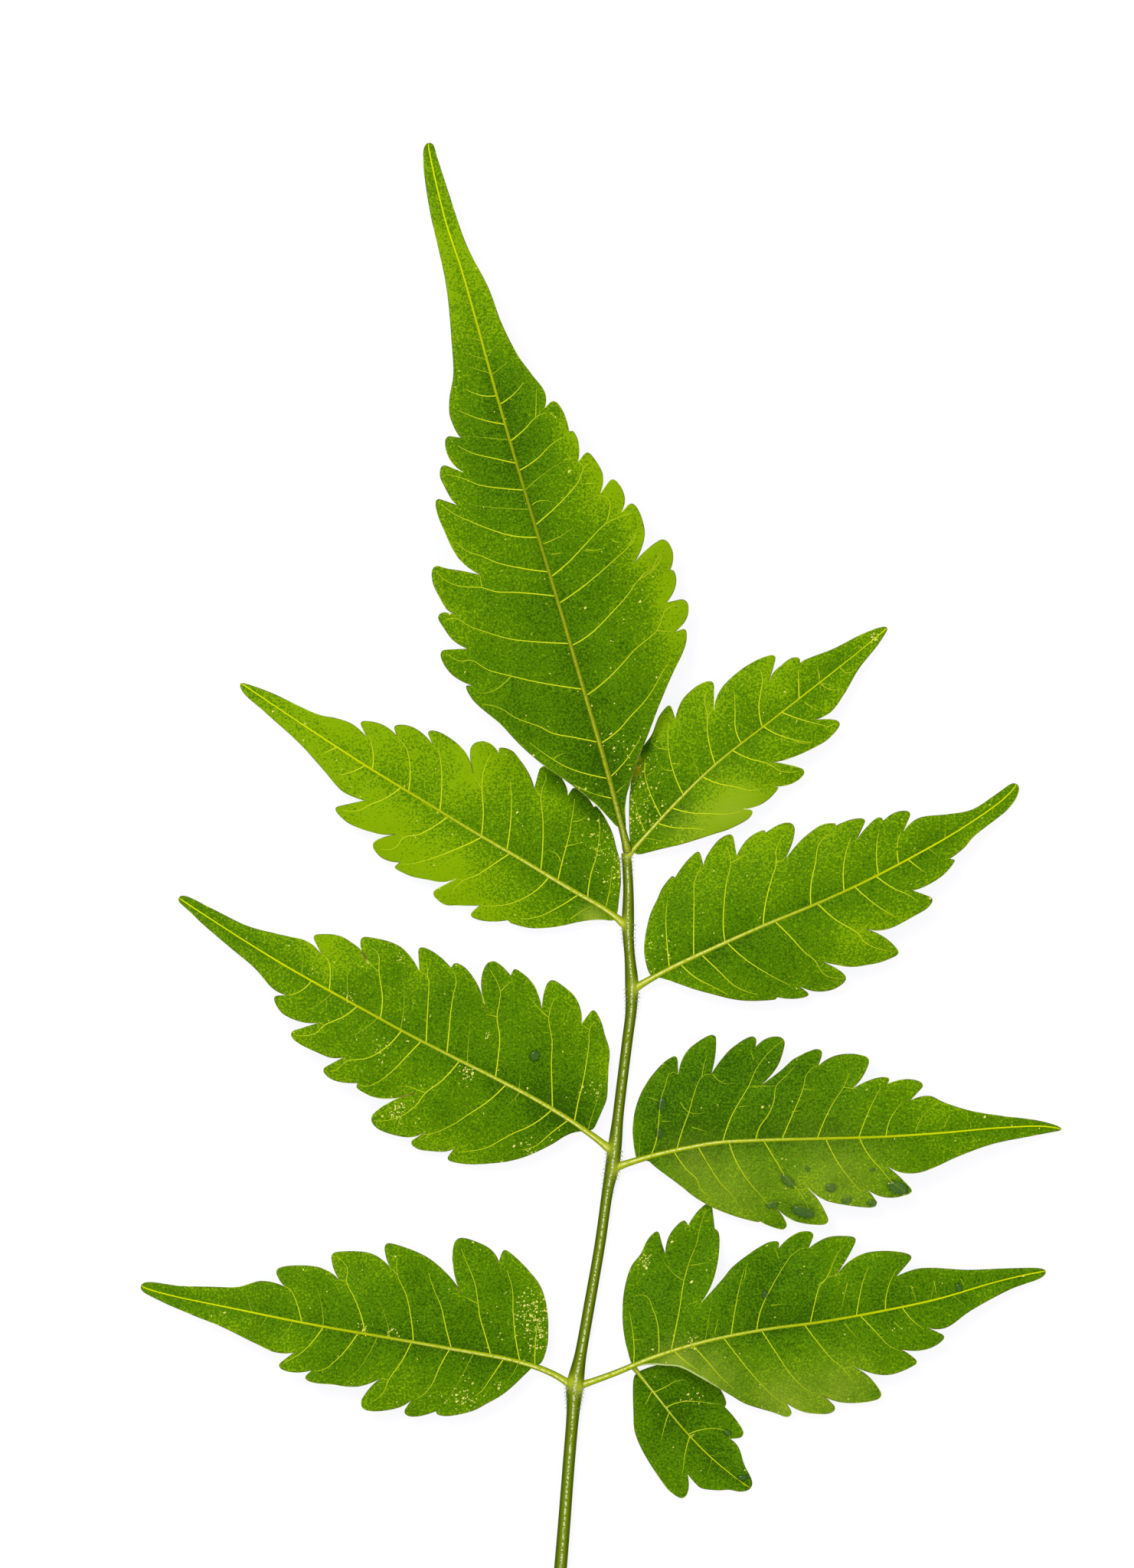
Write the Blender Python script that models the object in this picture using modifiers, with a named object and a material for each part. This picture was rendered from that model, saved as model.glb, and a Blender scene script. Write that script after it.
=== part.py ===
"""A compound neem leaf, cut from its twig and lying on a flat surface.

A stalk carries nine toothed leaflets. Every leaflet is a thin waved blade with a raised midrib that
runs out as a short stalk of its own. Each one is drawn in its own frame, in millimetres: x runs from
the joint on the main stalk to the leaflet's tip, and y to the left of that heading.
"""
import math
from dataclasses import dataclass

import bmesh
import bpy
import numpy as np
from mathutils import Vector
from mathutils.geometry import delaunay_2d_cdt

# Driving dimensions, in millimetres
MM = 0.001
BLADE_THICKNESS = 0.6
SHOULDER_RISE = 0.55
RIPPLE_RISE = 0.3
RIPPLE_LENGTH = 11.0
ROOT_HEIGHT = 0.85
TIP_HEIGHT = 0.3
RIB_TAPER = 0.55
RIB_SHORT_OF_TIP = 1.2

# How finely the curves and the blades are divided, in millimetres
EDGE_STEP = 2.2
RIB_STEP = 5.0
STALK_STEP = 2.6
GRID_STEP = 4.2
CLEAR_OF_EDGE = 1.7
CLEAR_OF_RIB_ENDS = 0.85
WIDEST = 20.0

# The flat spot under the stalk: its middle is the leaf's origin
SPOT_CENTRE = (0.83, 60.0)
SPOT_REACH = 6.0
SPOT_DEPTH = 0.12
STALK_CLEARANCE = 0.1
SURFACE_BLOCK = (6.0, 24.0, 2.0)

# Main stalk from the cut end upwards: x, y and radius
STALK = (
    (-7.9, -13.0, 0.76), (-6.8, 0.0, 0.74), (-6.3, 6.1, 0.72), (-5.75, 13.3, 0.70), (-5.15, 20.5, 0.76),
    (-4.9, 24.0, 1.0), (-4.55, 26.0, 0.84), (-4.2, 27.8, 0.70), (-2.9, 35.1, 0.64), (-1.65, 42.3, 0.62),
    (-0.6, 49.6, 0.66), (-0.1, 52.1, 0.80), (0.3, 55.2, 0.80), (0.65, 58.4, 0.65), (1.05, 61.9, 0.62),
    (1.95, 69.1, 0.62), (2.4, 72.7, 0.65), (2.5, 76.2, 0.78), (2.25, 79.8, 0.62), (2.05, 82.4, 0.64),
    (2.0, 84.1, 0.72), (2.05, 88.7, 0.60), (1.75, 93.4, 0.56),
)

LEAF_GREEN = (0.075, 0.200, 0.010, 1.0)
STALK_GREEN = (0.130, 0.225, 0.045, 1.0)


@dataclass(frozen=True)
class Leaflet:
    """One leaflet: its place on the plan, its midrib, its two margins and how high it lies.

    A margin is a list of runs. Each run is a smooth curve from the corner before it, and ends in a
    corner of its own: the tip of a tooth, or the notch behind it.
    """
    name: str
    joint: tuple
    tip: tuple
    midrib: tuple
    left: tuple
    right: tuple
    rib_start: float = 0.55
    rib_radius: float = 0.46
    arch: float = 3.0
    droop: float = 1.8
    half_width: float = 12.0
    root_height: float = ROOT_HEIGHT
    lift: tuple = ()


TERMINAL = Leaflet(
    name="leaflet_terminal", joint=(1.6, 94.0), tip=(-24.2, 186.3), rib_start=-0.2, rib_radius=0.52,
    arch=6.5, droop=3.2, half_width=16.0,
    midrib=((0, -0.3), (5, -0.4), (12, -0.5), (20, -0.4), (33, -0.25), (45, 0), (60, 0.2), (78, 0.2),
            (85, 0.5), (93, 0.2), (95.9, -0.1)),
    left=(
        ((3, 0.3), (6.3, 2.0), (9.6, 4.3), (13.4, 7.4), (16.6, 9.5), (20, 11.3), (24, 13.9), (26.1, 14.3)),
        ((25.8, 13.5),), ((27.2, 15.1), (28.4, 15.9), (30.2, 16.4), (31.4, 16.2)),
        ((30.6, 12.8),), ((32.2, 14.3), (34, 15.0), (35.5, 15.35), (36.2, 14.9)),
        ((35.4, 13.1),), ((36.1, 13.9), (38.1, 14.5), (40, 14.8), (41.4, 14.55), (42.3, 13.9)),
        ((41.35, 12.5), (40.6, 10.9), (39.4, 8.6)),
        ((41.4, 10.3), (43.4, 11.1), (45.8, 11.5), (49, 11.8), (50.6, 11.4)),
        ((48.9, 9.0),), ((49.8, 9.5), (51.9, 10.0), (53.1, 10.15), (54.6, 9.5)),
        ((52.8, 7.1),), ((54.2, 8.1), (56, 8.5), (58, 8.0)),
        ((57.2, 6.2),), ((57.9, 6.5), (60.4, 6.8), (62.5, 6.25), (65.3, 4.95), (69.5, 4.0), (76.9, 2.7),
                         (86.6, 2.15), (93.1, 1.25), (95.9, -0.1)),
    ),
    right=(
        ((1.9, -0.7), (4.9, -1.1), (7.8, -2.5), (10.5, -4.3), (13.7, -6.9), (16.6, -9.1), (20, -11.9),
         (22.5, -14.1), (24, -15.05), (25.6, -15.4)),
        ((25.4, -13.9),), ((26.8, -15.9), (28.4, -16.5), (29.3, -16.3)),
        ((29.4, -13.9),), ((31.4, -15.7), (33.2, -15.9)), ((33.4, -15.5),), ((35.5, -16.4), (37.6, -15.8)),
        ((37.2, -14.3), (36.35, -12.5), (35.5, -11.2)),
        ((36.9, -12.5), (38.7, -13.5), (40.5, -13.7), (42.2, -13.5), (43.3, -12.9)),
        ((42.3, -11.4),), ((44.3, -12.3), (47, -11.4)),
        ((45.4, -9.4),), ((47.5, -10.3), (49.2, -10.05), (51.2, -9.2)),
        ((50.1, -7.7),), ((52.5, -8.4), (54.2, -8.1)), ((54.2, -7.6),), ((57.2, -7.5), (58.8, -6.7)),
        ((58, -5.4),), ((59.8, -5.95), (62.5, -5.0), (65.4, -3.9), (70.1, -2.95), (75, -2.55), (81.3, -1.3),
                        (89.8, -0.85), (95.9, -0.1)),
    ),
)

RIGHT_1 = Leaflet(
    name="leaflet_right_1", joint=(2.2, 93.4), tip=(35.9, 122.9), rib_start=0.95, rib_radius=0.36,
    arch=2.0, droop=1.8, half_width=11.0, root_height=0.75,
    midrib=((0, -0.1), (3.55, 0.35), (9.1, 0.95), (16, 1.3), (25.8, 0.8), (36.9, 0.2), (45, -0.1)),
    left=(
        ((1.4, 0.3), (2.0, 1.7), (3.6, 4.1), (5.2, 5.6), (7.7, 7.2), (10.2, 8.8), (12.3, 9.5), (14.7, 10.9),
         (16.9, 11.2)),
        ((16.05, 9.25),), ((17.2, 10), (18.55, 10.55), (21.6, 10.5), (23.1, 9.65)),
        ((20.6, 6.8),), ((21.9, 7.8), (23.55, 8.35), (27.4, 8.35), (30.5, 7.5), (31.5, 6.8)),
        ((28.3, 4.7),), ((29.4, 5.3), (31.05, 5.4), (32.7, 5.2), (33.5, 4.5)),
        ((33.05, 4.0),), ((33.8, 3.9), (37.7, 2.5), (41.9, 1.45), (44.4, 0.4), (45, -0.1)),
    ),
    right=(
        ((1.4, -0.5), (3.55, -2.4), (5.8, -3.6), (9.9, -5.4), (11.9, -6.25), (14.9, -6.85), (15.9, -6.4)),
        ((15, -5.5),), ((17.4, -6.6), (20.35, -6.4)), ((20.05, -6.05),), ((22.4, -7.3), (24.45, -7.1)),
        ((23.8, -5.85), (22, -3.5)), ((23.55, -4.35), (27.4, -5.6), (29.7, -5.9), (32.05, -5.4)),
        ((31.5, -4.45), (29.7, -2.9)),
        ((30.8, -3.3), (32.2, -3.45), (34.9, -2.8), (38.3, -1.65), (42.4, -0.9), (45, -0.1)),
    ),
)

LEFT_1 = Leaflet(
    name="leaflet_left_1", joint=(1.2, 84.2), tip=(-48.6, 115.7), arch=1.9, droop=2.2, rib_start=0.65,
    midrib=((0, -0.15), (2.6, -0.4), (8.7, -0.2), (15.9, -0.05), (23, 0.2), (30, 0.3), (39, 0.45),
            (49.8, 0.3), (59.1, 0.05)),
    left=(
        ((1.6, 0.2), (2.6, 0.9), (5, 3), (6.2, 4.3), (8, 5.75), (9.8, 6.9), (12.3, 7.7)),
        ((12.8, 7.6),), ((15.5, 9.4), (17.5, 9.8)), ((17, 8.0),), ((19.4, 9.5), (20.9, 10.3), (23.2, 9.85)),
        ((22.6, 8.7), (21.4, 6.65)), ((22.6, 7.9), (24.4, 8.7), (26.6, 9.5), (29.1, 9.75)),
        ((28.8, 8.8),), ((31.2, 9.5), (33.2, 8.6)), ((32.5, 7.35), (30.9, 5.7)),
        ((31.9, 6.5), (33.7, 7.3), (37.3, 8.0), (39.9, 7.3)), ((37, 4.4),),
        ((38.4, 4.75), (40.1, 4.9), (43.7, 3.85), (48, 2.65), (54.1, 1.6), (58, 0.9), (59.1, 0.05)),
    ),
    right=(
        ((1.9, -0.7), (2.9, -2.6), (3.8, -4.4), (5.0, -6.4), (6.5, -8.1), (8, -9.8), (9.8, -11),
         (11.1, -11.2)),
        ((11.2, -10.9),), ((13.7, -11.85), (14.9, -11.75)),
        ((14.9, -10.4),), ((15.9, -11.4), (17.6, -12.1), (19.1, -12.2), (20, -11.7)),
        ((19.1, -8.85),), ((20.5, -9.95), (22.6, -10.95), (24.25, -11.4), (25.9, -10.8)),
        ((25.4, -10.2),), ((27.6, -10.6), (29.1, -9.25)), ((28.5, -8), (26.6, -5.95)),
        ((28, -7.3), (29.8, -8.2), (33.4, -8.4), (35, -7.65)), ((33.4, -6.6),), ((36.9, -7.05), (39, -5.85)),
        ((38, -5.05),), ((40.5, -5.2), (43.1, -4)),
        ((41.2, -2.8),), ((43.7, -3.2), (45.9, -2.7), (48, -1.9), (55.1, -0.95), (59.1, 0.05)),
    ),
)

RIGHT_2 = Leaflet(
    name="leaflet_right_2", joint=(3.2, 75.8), tip=(52.9, 102.5), arch=3.2, droop=2.4, rib_start=0.65,
    midrib=((0, 0.1), (4.9, 0.2), (11.8, -0.15), (18.7, -0.65), (25.6, -1.35), (32.5, -1.8), (39.4, -1.9),
            (46.3, -1.75), (53.9, -0.9), (56.5, 0.05)),
    left=(
        ((2.2, 0.4), (2.5, 2.2), (3.2, 4.1), (4, 5.3), (6.1, 7.7), (7.7, 8.9), (9, 9.9), (11, 10.75)),
        ((11.2, 10.35),), ((13.5, 11.5), (15.7, 12.05)), ((15.2, 10),),
        ((15.9, 10.7), (17.3, 11.5), (18.7, 12), (20.55, 11.9)), ((19.6, 9.05),),
        ((22.1, 10.35), (24.4, 10.3)), ((24.4, 9.9),), ((27, 9.9), (28.2, 9.25)), ((27.5, 7.9), (25, 5.7)),
        ((28, 6.9), (29.7, 7.25), (31.4, 7.35), (33, 6.65)), ((32.8, 6.4),), ((35.2, 6.1), (36.8, 5.3)),
        ((34.1, 3.3),), ((35.2, 3.95), (38, 4.75), (38.6, 4.5)), ((38.6, 4.05),), ((40.8, 4.2), (42.4, 3.3)),
        ((40.3, 1.6),), ((41.4, 2.05), (43, 2.15), (46.3, 0.85), (49.4, -0.15), (53.2, 0.1), (56.5, 0.05)),
    ),
    right=(
        ((3.2, -0.2), (4.2, -1.2), (6.6, -3.8), (8.3, -5.4), (10.1, -7.05), (11.8, -8.25), (15.2, -9.9)),
        ((15.5, -9.7),), ((17.7, -11.1), (19.55, -11.55)), ((18.8, -9.9),),
        ((20.1, -11.3), (21.8, -12.15), (23.3, -12.3), (24.8, -11.9)), ((24.4, -10.6), (23, -8.5)),
        ((24.2, -9.55), (25.9, -10.8), (27.7, -11.5), (29.7, -12.1), (32.4, -12.3)),
        ((31.6, -9.55), (29.8, -7.2)),
        ((31.1, -8.2), (32.8, -8.75), (36.3, -8.8), (38.3, -8.7), (39.65, -8)), ((37.65, -5.75),),
        ((39, -6.05), (42.1, -5.9), (44.5, -4.9)),
        ((43.9, -4.45),), ((46.3, -4.05), (48, -3.4), (51.8, -2.6), (55.2, -1.4), (56.5, 0.05)),
    ),
)

LEFT_2 = Leaflet(
    name="leaflet_left_2", joint=(-0.8, 54.9), tip=(-56.8, 87.7), arch=3.6, droop=2.6, half_width=13.0,
    rib_start=0.35,
    midrib=((0, -0.15), (4.9, -0.7), (11, -0.85), (17.2, -0.6), (23.4, -0.2), (29.5, 0.15), (36.5, 0.35),
            (48, 0.6), (55.7, 0.45), (65, 0.05)),
    left=(
        ((3.8, -0.3), (4.7, 0.4), (5.5, 1.45), (6.3, 3), (8.4, 6.1), (9.9, 7.7), (11.5, 9), (14.9, 11.15),
         (17.35, 11.95)),
        ((17.15, 10.2),), ((18, 11.1), (19.5, 11.9), (21.1, 12.55), (22.65, 12.35)), ((21.5, 10.2),),
        ((22.6, 11.55), (24.2, 12.35), (27.2, 12.9), (28.65, 12.15)), ((27.6, 9.35), (25, 6)),
        ((26.1, 7.4), (27.6, 8.65), (29.5, 9.55), (32.2, 9.65)), ((32.3, 9.05),),
        ((34.9, 10.25), (36.1, 10.3), (37.3, 9.85)),
        ((35.6, 7.05),), ((36.85, 7.9), (38.8, 8.25), (42.2, 8.4), (43.35, 7.75)),
        ((40.7, 4.85),), ((42.2, 5.7), (44.2, 6.15), (45.7, 6.05), (47.6, 4.8)),
        ((46.15, 3.85),), ((48, 4), (51.5, 2.9), (55.7, 2.2), (60.3, 1.4), (64.15, 0.6), (65, 0.05)),
    ),
    right=(
        ((2.6, -0.7), (2.9, -3.5), (3.2, -5.5), (4, -7.2), (4.9, -8.9), (6.1, -11.2), (7.6, -12.6),
         (8.95, -13.9), (10.7, -14.9)),
        ((11, -12.4),), ((11.85, -13.7), (13.4, -14.9), (14.9, -15.3), (17.4, -15.45)),
        ((17.5, -14.3), (16.5, -11.5)), ((17.6, -12.6), (19.15, -13.7), (22.3, -14.2)), ((22.15, -13.1),),
        ((24.5, -13.7), (25.5, -13.5)), ((25.65, -12.4), (25.1, -10.5), (22.35, -7.3)),
        ((24.15, -9.1), (26.1, -10.4), (28, -11.05), (29.35, -10.9)), ((29.4, -10.1),),
        ((32.6, -10.7), (34.5, -10.3)), ((32.8, -7.7),), ((35.7, -9), (37.6, -9.05), (41.6, -7.7)),
        ((40.7, -6.25), (38.6, -4.95)), ((40.3, -6.05), (42.2, -6.4), (44.2, -6.3), (47.2, -4.6)),
        ((44.85, -3.05),), ((47.2, -3.6), (50.7, -2.6), (54.9, -1.4), (60.3, -0.95), (65, 0.05)),
    ),
)

RIGHT_3 = Leaflet(
    name="leaflet_right_3", joint=(0.8, 52.1), tip=(58.7, 57.3), arch=3.4, droop=2.6,
    midrib=((0, 0.4), (2.3, 0.95), (5.1, 1.5), (10.5, 2.2), (13.7, 2.4), (20.1, 2.15), (27.3, 1.7),
            (34.8, 1.25), (42.6, 1.05), (49.8, 1.0), (55.9, 0.6), (58.35, -0.1)),
    left=(
        ((2.4, 1.1), (2.2, 3.5), (2.4, 6), (3.2, 8.5), (4.4, 10.6), (5.8, 12.2), (7.3, 13.5), (8.7, 14.05),
         (8.95, 13.45)),
        ((8.85, 11.7),), ((9.8, 14), (10.9, 15.1), (13.7, 16.4), (14.2, 16.05)),
        ((13.95, 14), (13.2, 11.45)), ((14.8, 13.3), (16.2, 14.5), (18.7, 15.7), (19.5, 15.5)),
        ((19.25, 14.35),), ((20.9, 15.35), (22.3, 15.4), (23.2, 15.0)), ((22.6, 13.1), (21.75, 11.5),
         (19.6, 9.45)),
        ((22.3, 11.1), (24.1, 12.4), (27.1, 13.35), (28.0, 13.1)), ((27.2, 11.25),),
        ((29.1, 12.2), (30.9, 12.4), (32.6, 12.15), (34, 11.55)), ((32.8, 9.35), (31.3, 7.85)),
        ((33.4, 8.7), (35.1, 9.0), (36.3, 8.8)), ((35.95, 8.1),), ((38, 8.45), (39.6, 8.2), (40.75, 7.5)),
        ((38.65, 5.65),),
        ((40.3, 6.05), (41.4, 5.95), (43, 5.0), (46.2, 3.65), (50.5, 2.5), (54.8, 1.55), (57.6, 0.5),
         (58.35, -0.1)),
    ),
    right=(
        ((3.9, 0.9), (4.8, -0.1), (7.6, -2.6), (9.1, -4.05), (10.7, -5.35), (13.4, -6.9), (17.5, -8.5)),
        ((17.8, -8.4),), ((18.7, -9.0), (20.7, -9.75), (21.4, -9.45)), ((20.7, -7.8), (20.1, -6.9)),
        ((21.9, -8.55), (23.4, -9.15), (26, -9.55), (26.8, -9.3)), ((26, -7.1), (25.3, -5.8), (24.35, -4.55)),
        ((26.2, -6.2), (27.6, -6.8), (32.3, -7.85), (33.3, -7.7)), ((32.6, -6.2), (32, -5.45)),
        ((33.7, -6.5), (35.5, -6.8), (38.05, -6.3)), ((36.6, -4.4), (34.9, -2.65)),
        ((36.9, -3.7), (38.7, -3.85), (40.5, -3.5), (44.1, -2.25), (48.7, -1.05), (54.4, -0.45),
         (58.35, -0.1)),
    ),
)

LEFT_3 = Leaflet(
    name="leaflet_left_3", joint=(-5.5, 24.3), tip=(-61.6, 37.0), arch=3.2, droop=2.6, rib_start=0.8,
    midrib=((0, 0.3), (1.6, -0.35), (3.4, -0.8), (5.1, -1.05), (8.7, -1.25), (16.6, -0.95), (25.1, -0.55),
            (33.7, -0.1), (44.4, 0.2), (55.1, 0.4), (57.75, 0.1)),
    left=(
        ((5.3, -0.8), (6.05, 0.3), (7.1, 1.9), (8.35, 3.5), (10, 5.0), (11.6, 6.35), (14.8, 7.8),
         (16.1, 7.85)),
        ((16.3, 7.5),), ((18.5, 8.7), (19.6, 8.9), (20.5, 8.65)), ((19.8, 6.8),),
        ((20.5, 7.6), (21.75, 8.4), (24.6, 9.35), (25.7, 9.2), (26.25, 8.6)), ((25.3, 6.2), (24.4, 4.95)),
        ((26.6, 6.4), (28, 6.8), (30.1, 7), (33, 7.3), (34.1, 6.95)), ((33.3, 5.8),),
        ((35.1, 6.5), (36.75, 6.6), (37.85, 6.2)), ((36.1, 4.05),),
        ((38.4, 4.55), (41.4, 3.95), (45.9, 2.9), (50.5, 2.2), (54.8, 1.4), (57.75, 0.1)),
    ),
    right=(
        ((4.35, -1.1), (4, -4), (4.35, -6.15), (4.8, -7.9), (5.7, -10.05), (6.9, -11.7), (10.1, -14.05),
         (12.4, -15.15)),
        ((12.6, -13.3),), ((14.05, -14.65), (17.6, -15.3), (18.7, -15.05)),
        ((18.7, -12.75), (17.3, -9.35), (16.15, -8.05)), ((18.4, -10.05), (21.9, -11.85), (26.2, -12.55),
         (27.7, -12.45)),
        ((27.3, -11.15), (26.4, -9.65)), ((28.4, -10.6), (30.1, -10.7), (34.2, -9.7)), ((33.5, -7.9),
         (32.4, -6.55)),
        ((35.1, -7.5), (39.1, -6.85), (40.85, -5.95)), ((40, -4.8), (39.1, -4.1)),
        ((42.3, -4.1), (45, -2.7), (48.7, -1.85), (52.6, -1.05), (56.75, -0.55), (57.75, 0.1)),
    ),
)

RIGHT_4 = Leaflet(
    name="leaflet_right_4", joint=(-4.2, 23.7), tip=(56.6, 39.0), arch=3.0, droop=2.6, rib_start=0.95,
    lift=((13.0, -2.0, 4.5, 1.1),),
    midrib=((0, 0.2), (4.9, 0.7), (10.3, 1.55), (17.2, 1.9), (24.9, 1.55), (32.6, 0.7), (40.3, 0.15),
            (48, -0.15), (56.5, 0.1), (62.9, -0.2)),
    left=(
        ((7.2, 1.0), (7.15, 4.6), (7.5, 7.3), (8.6, 10.8), (10.3, 13.65), (11.85, 14.9), (13.2, 16.5),
         (14.9, 17.45)),
        ((14.9, 15.4), (15, 14.2)), ((16.1, 16.35), (18, 17.7), (18.6, 17.75)), ((18.8, 17.05),),
        ((20.7, 18.65), (22.05, 19.2), (22.5, 19.1)), ((22.15, 16.5), (22.05, 15.7)),
        ((22.4, 15.2), (21.85, 12.7), (20.1, 9.2), (18.05, 7.0)),
        ((21.5, 9.3), (23, 10.4), (26.5, 11.85), (28.8, 12.35), (29.85, 12)), ((29.5, 11.3),),
        ((31.5, 12.4), (33, 12.65), (34.6, 12.1)), ((33.3, 10.35),), ((35.9, 11.1), (37.6, 10.9),
         (39.8, 10.15)),
        ((38.4, 8.45), (35.85, 6.1)), ((38.4, 7.6), (40.7, 7.95), (44.5, 7.1), (46.3, 6.0)), ((43.5, 4.05),),
        ((46.1, 4.35), (48, 4.05), (52.6, 2.6), (58, 1.4), (61.85, 0.4), (62.9, -0.2)),
    ),
    right=(
        ((7.8, 0.7), (10.3, 0.2), (12.2, -0.6), (14.15, -1.5), (15.7, -2.9), (18.8, -5.8), (20.3, -7.3),
         (23.6, -9.35), (25.3, -10.4), (26.1, -10.2)),
        ((25.6, -8.6),), ((27.2, -10.1), (28.8, -10.85), (30.7, -11.3), (31.8, -10.95)), ((30.7, -9.05),
         (30.1, -8.4)),
        ((32.2, -10.1), (36.1, -11.05), (38, -10.8)), ((37.4, -8.85), (36.5, -7.3), (35.1, -5.9)),
        ((38.4, -7.95), (40.3, -8.25), (43.65, -7.6)), ((42.4, -5.95), (41.8, -5.4)),
        ((44.5, -6.15), (46.5, -5.9), (47.9, -5.1)),
        ((45.9, -3.5),), ((48, -4.05), (51.85, -2.7), (57.6, -1.3), (61.85, -0.85), (62.9, -0.2)),
    ),
)

SIDE_4 = Leaflet(
    name="leaflet_right_4_side", joint=(2.8, 26.2), tip=(18.0, 10.2), rib_start=0.45, rib_radius=0.3,
    arch=-0.4, droop=0.9, half_width=8.0, root_height=1.1,
    midrib=((0, 0), (5, -0.45), (10.3, -0.85), (15.3, -0.8), (19.5, -0.3), (22.1, 0.2)),
    left=(
        ((2.1, 0.1), (2.9, 1.6), (4.4, 3.0), (6.3, 4.4), (8.8, 5.3), (11.1, 5.65), (11.75, 5.5)),
        ((11.9, 5.05),),
        ((13.8, 5.0), (15.9, 4.6), (16.5, 4.05)), ((15.4, 2.7),),
        ((16.85, 2.75), (19.15, 1.7), (21.3, 1.0), (22.1, 0.2)),
    ),
    right=(
        ((1.7, -0.5), (3.4, -3.4), (5.7, -5.5), (8, -6.5), (11.85, -7.4), (14.9, -7.75), (17, -7.15)),
        ((16.5, -5.9), (14.9, -4.5)),
        ((16.6, -4.6), (17.4, -4.5), (19.15, -3.1), (20.1, -2), (21.3, -1.1), (22.1, 0.2)),
    ),
)

LEAFLETS = (TERMINAL, RIGHT_1, LEFT_1, RIGHT_2, LEFT_2, RIGHT_3, LEFT_3, RIGHT_4, SIDE_4)


def clear_scene():
    """Remove every object that is already in the file."""
    for existing in list(bpy.data.objects):
        bpy.data.objects.remove(existing, do_unlink=True)


def new_collection(name):
    """Return a new collection linked to the scene."""
    collection = bpy.data.collections.new(name)
    bpy.context.scene.collection.children.link(collection)
    return collection


def plant_material(name, colour, roughness):
    """Return a plain non-metallic material of this colour and roughness."""
    material = bpy.data.materials.new(name)
    material.use_nodes = True
    shader = material.node_tree.nodes["Principled BSDF"]
    shader.inputs["Base Color"].default_value = colour
    shader.inputs["Roughness"].default_value = roughness
    shader.inputs["Metallic"].default_value = 0.0
    return material


def smooth(points, step):
    """Return points about a step apart on the curve of cubic pieces through the given points."""
    points = np.array(points, dtype=float)
    gaps = np.linalg.norm(np.diff(points[:, :2], axis=0), axis=1)
    knots = np.concatenate(([0.0], np.cumsum(np.sqrt(gaps))))
    slopes = np.gradient(points, knots, axis=0, edge_order=min(2, len(points) - 1))
    curve = []
    for index, gap in enumerate(gaps):
        parts = max(1, round(gap / step))
        u = (np.arange(parts) / parts)[:, None]
        span = knots[index + 1] - knots[index]
        curve.append(
            (2 * u**3 - 3 * u**2 + 1) * points[index] + (3 * u**2 - 2 * u**3) * points[index + 1]
            + span * ((u**3 - 2 * u**2 + u) * slopes[index] + (u**3 - u**2) * slopes[index + 1]))
    return np.vstack(curve + [points[-1:]])


def margin(runs):
    """Return the points of one margin, from the base of the blade to its tip."""
    corner = ()
    stretches = []
    for run in runs:
        stretches.append(smooth(corner + run, EDGE_STEP)[:-1])
        corner = run[-1:]
    return np.vstack(stretches + [np.array(corner)])


def height(leaflet, x, y):
    """Return how high the middle of the blade lies at x, y.

    An arch runs from the joint to the tip. Across it the blade rises from the midrib to a shoulder,
    droops towards the margin and ripples along it, and nowhere does it sink into the surface.
    """
    length = leaflet.midrib[-1][0]
    along = np.clip(x / length, 0.0, 1.0)
    crest = leaflet.root_height * (1 - along) + TIP_HEIGHT * along + 4 * leaflet.arch * along * (1 - along)
    middle = smooth(leaflet.midrib, RIB_STEP)
    across = np.abs(y - np.interp(x, middle[:, 0], middle[:, 1])) / leaflet.half_width
    level = crest + SHOULDER_RISE * np.sin(math.pi * np.minimum(across, 1.0)) - leaflet.droop * across**2
    level = level + RIPPLE_RISE * across * np.sin(2 * math.pi * x / RIPPLE_LENGTH + np.sign(y))
    for centre_x, centre_y, reach, rise in leaflet.lift:
        level = level + rise * np.exp(-((x - centre_x)**2 + (y - centre_y)**2) / reach**2)
    return np.maximum(level, BLADE_THICKNESS / 2)


def inside(outline, points):
    """Say which points lie inside the outline, by how often a ray along x crosses it."""
    ahead = np.roll(outline, -1, axis=0)
    y = points[:, 1][:, None]
    spans = (outline[:, 1] > y) != (ahead[:, 1] > y)
    rise = np.where(ahead[:, 1] == outline[:, 1], 1.0, ahead[:, 1] - outline[:, 1])
    crossing = outline[:, 0] + (y - outline[:, 1]) * (ahead[:, 0] - outline[:, 0]) / rise
    return np.count_nonzero(spans & (points[:, 0][:, None] < crossing), axis=1) % 2 == 1


def distance(points, others):
    """Return how far each point is from the nearest of the others."""
    return np.linalg.norm(points[:, None] - others, axis=2).min(axis=1)


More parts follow.
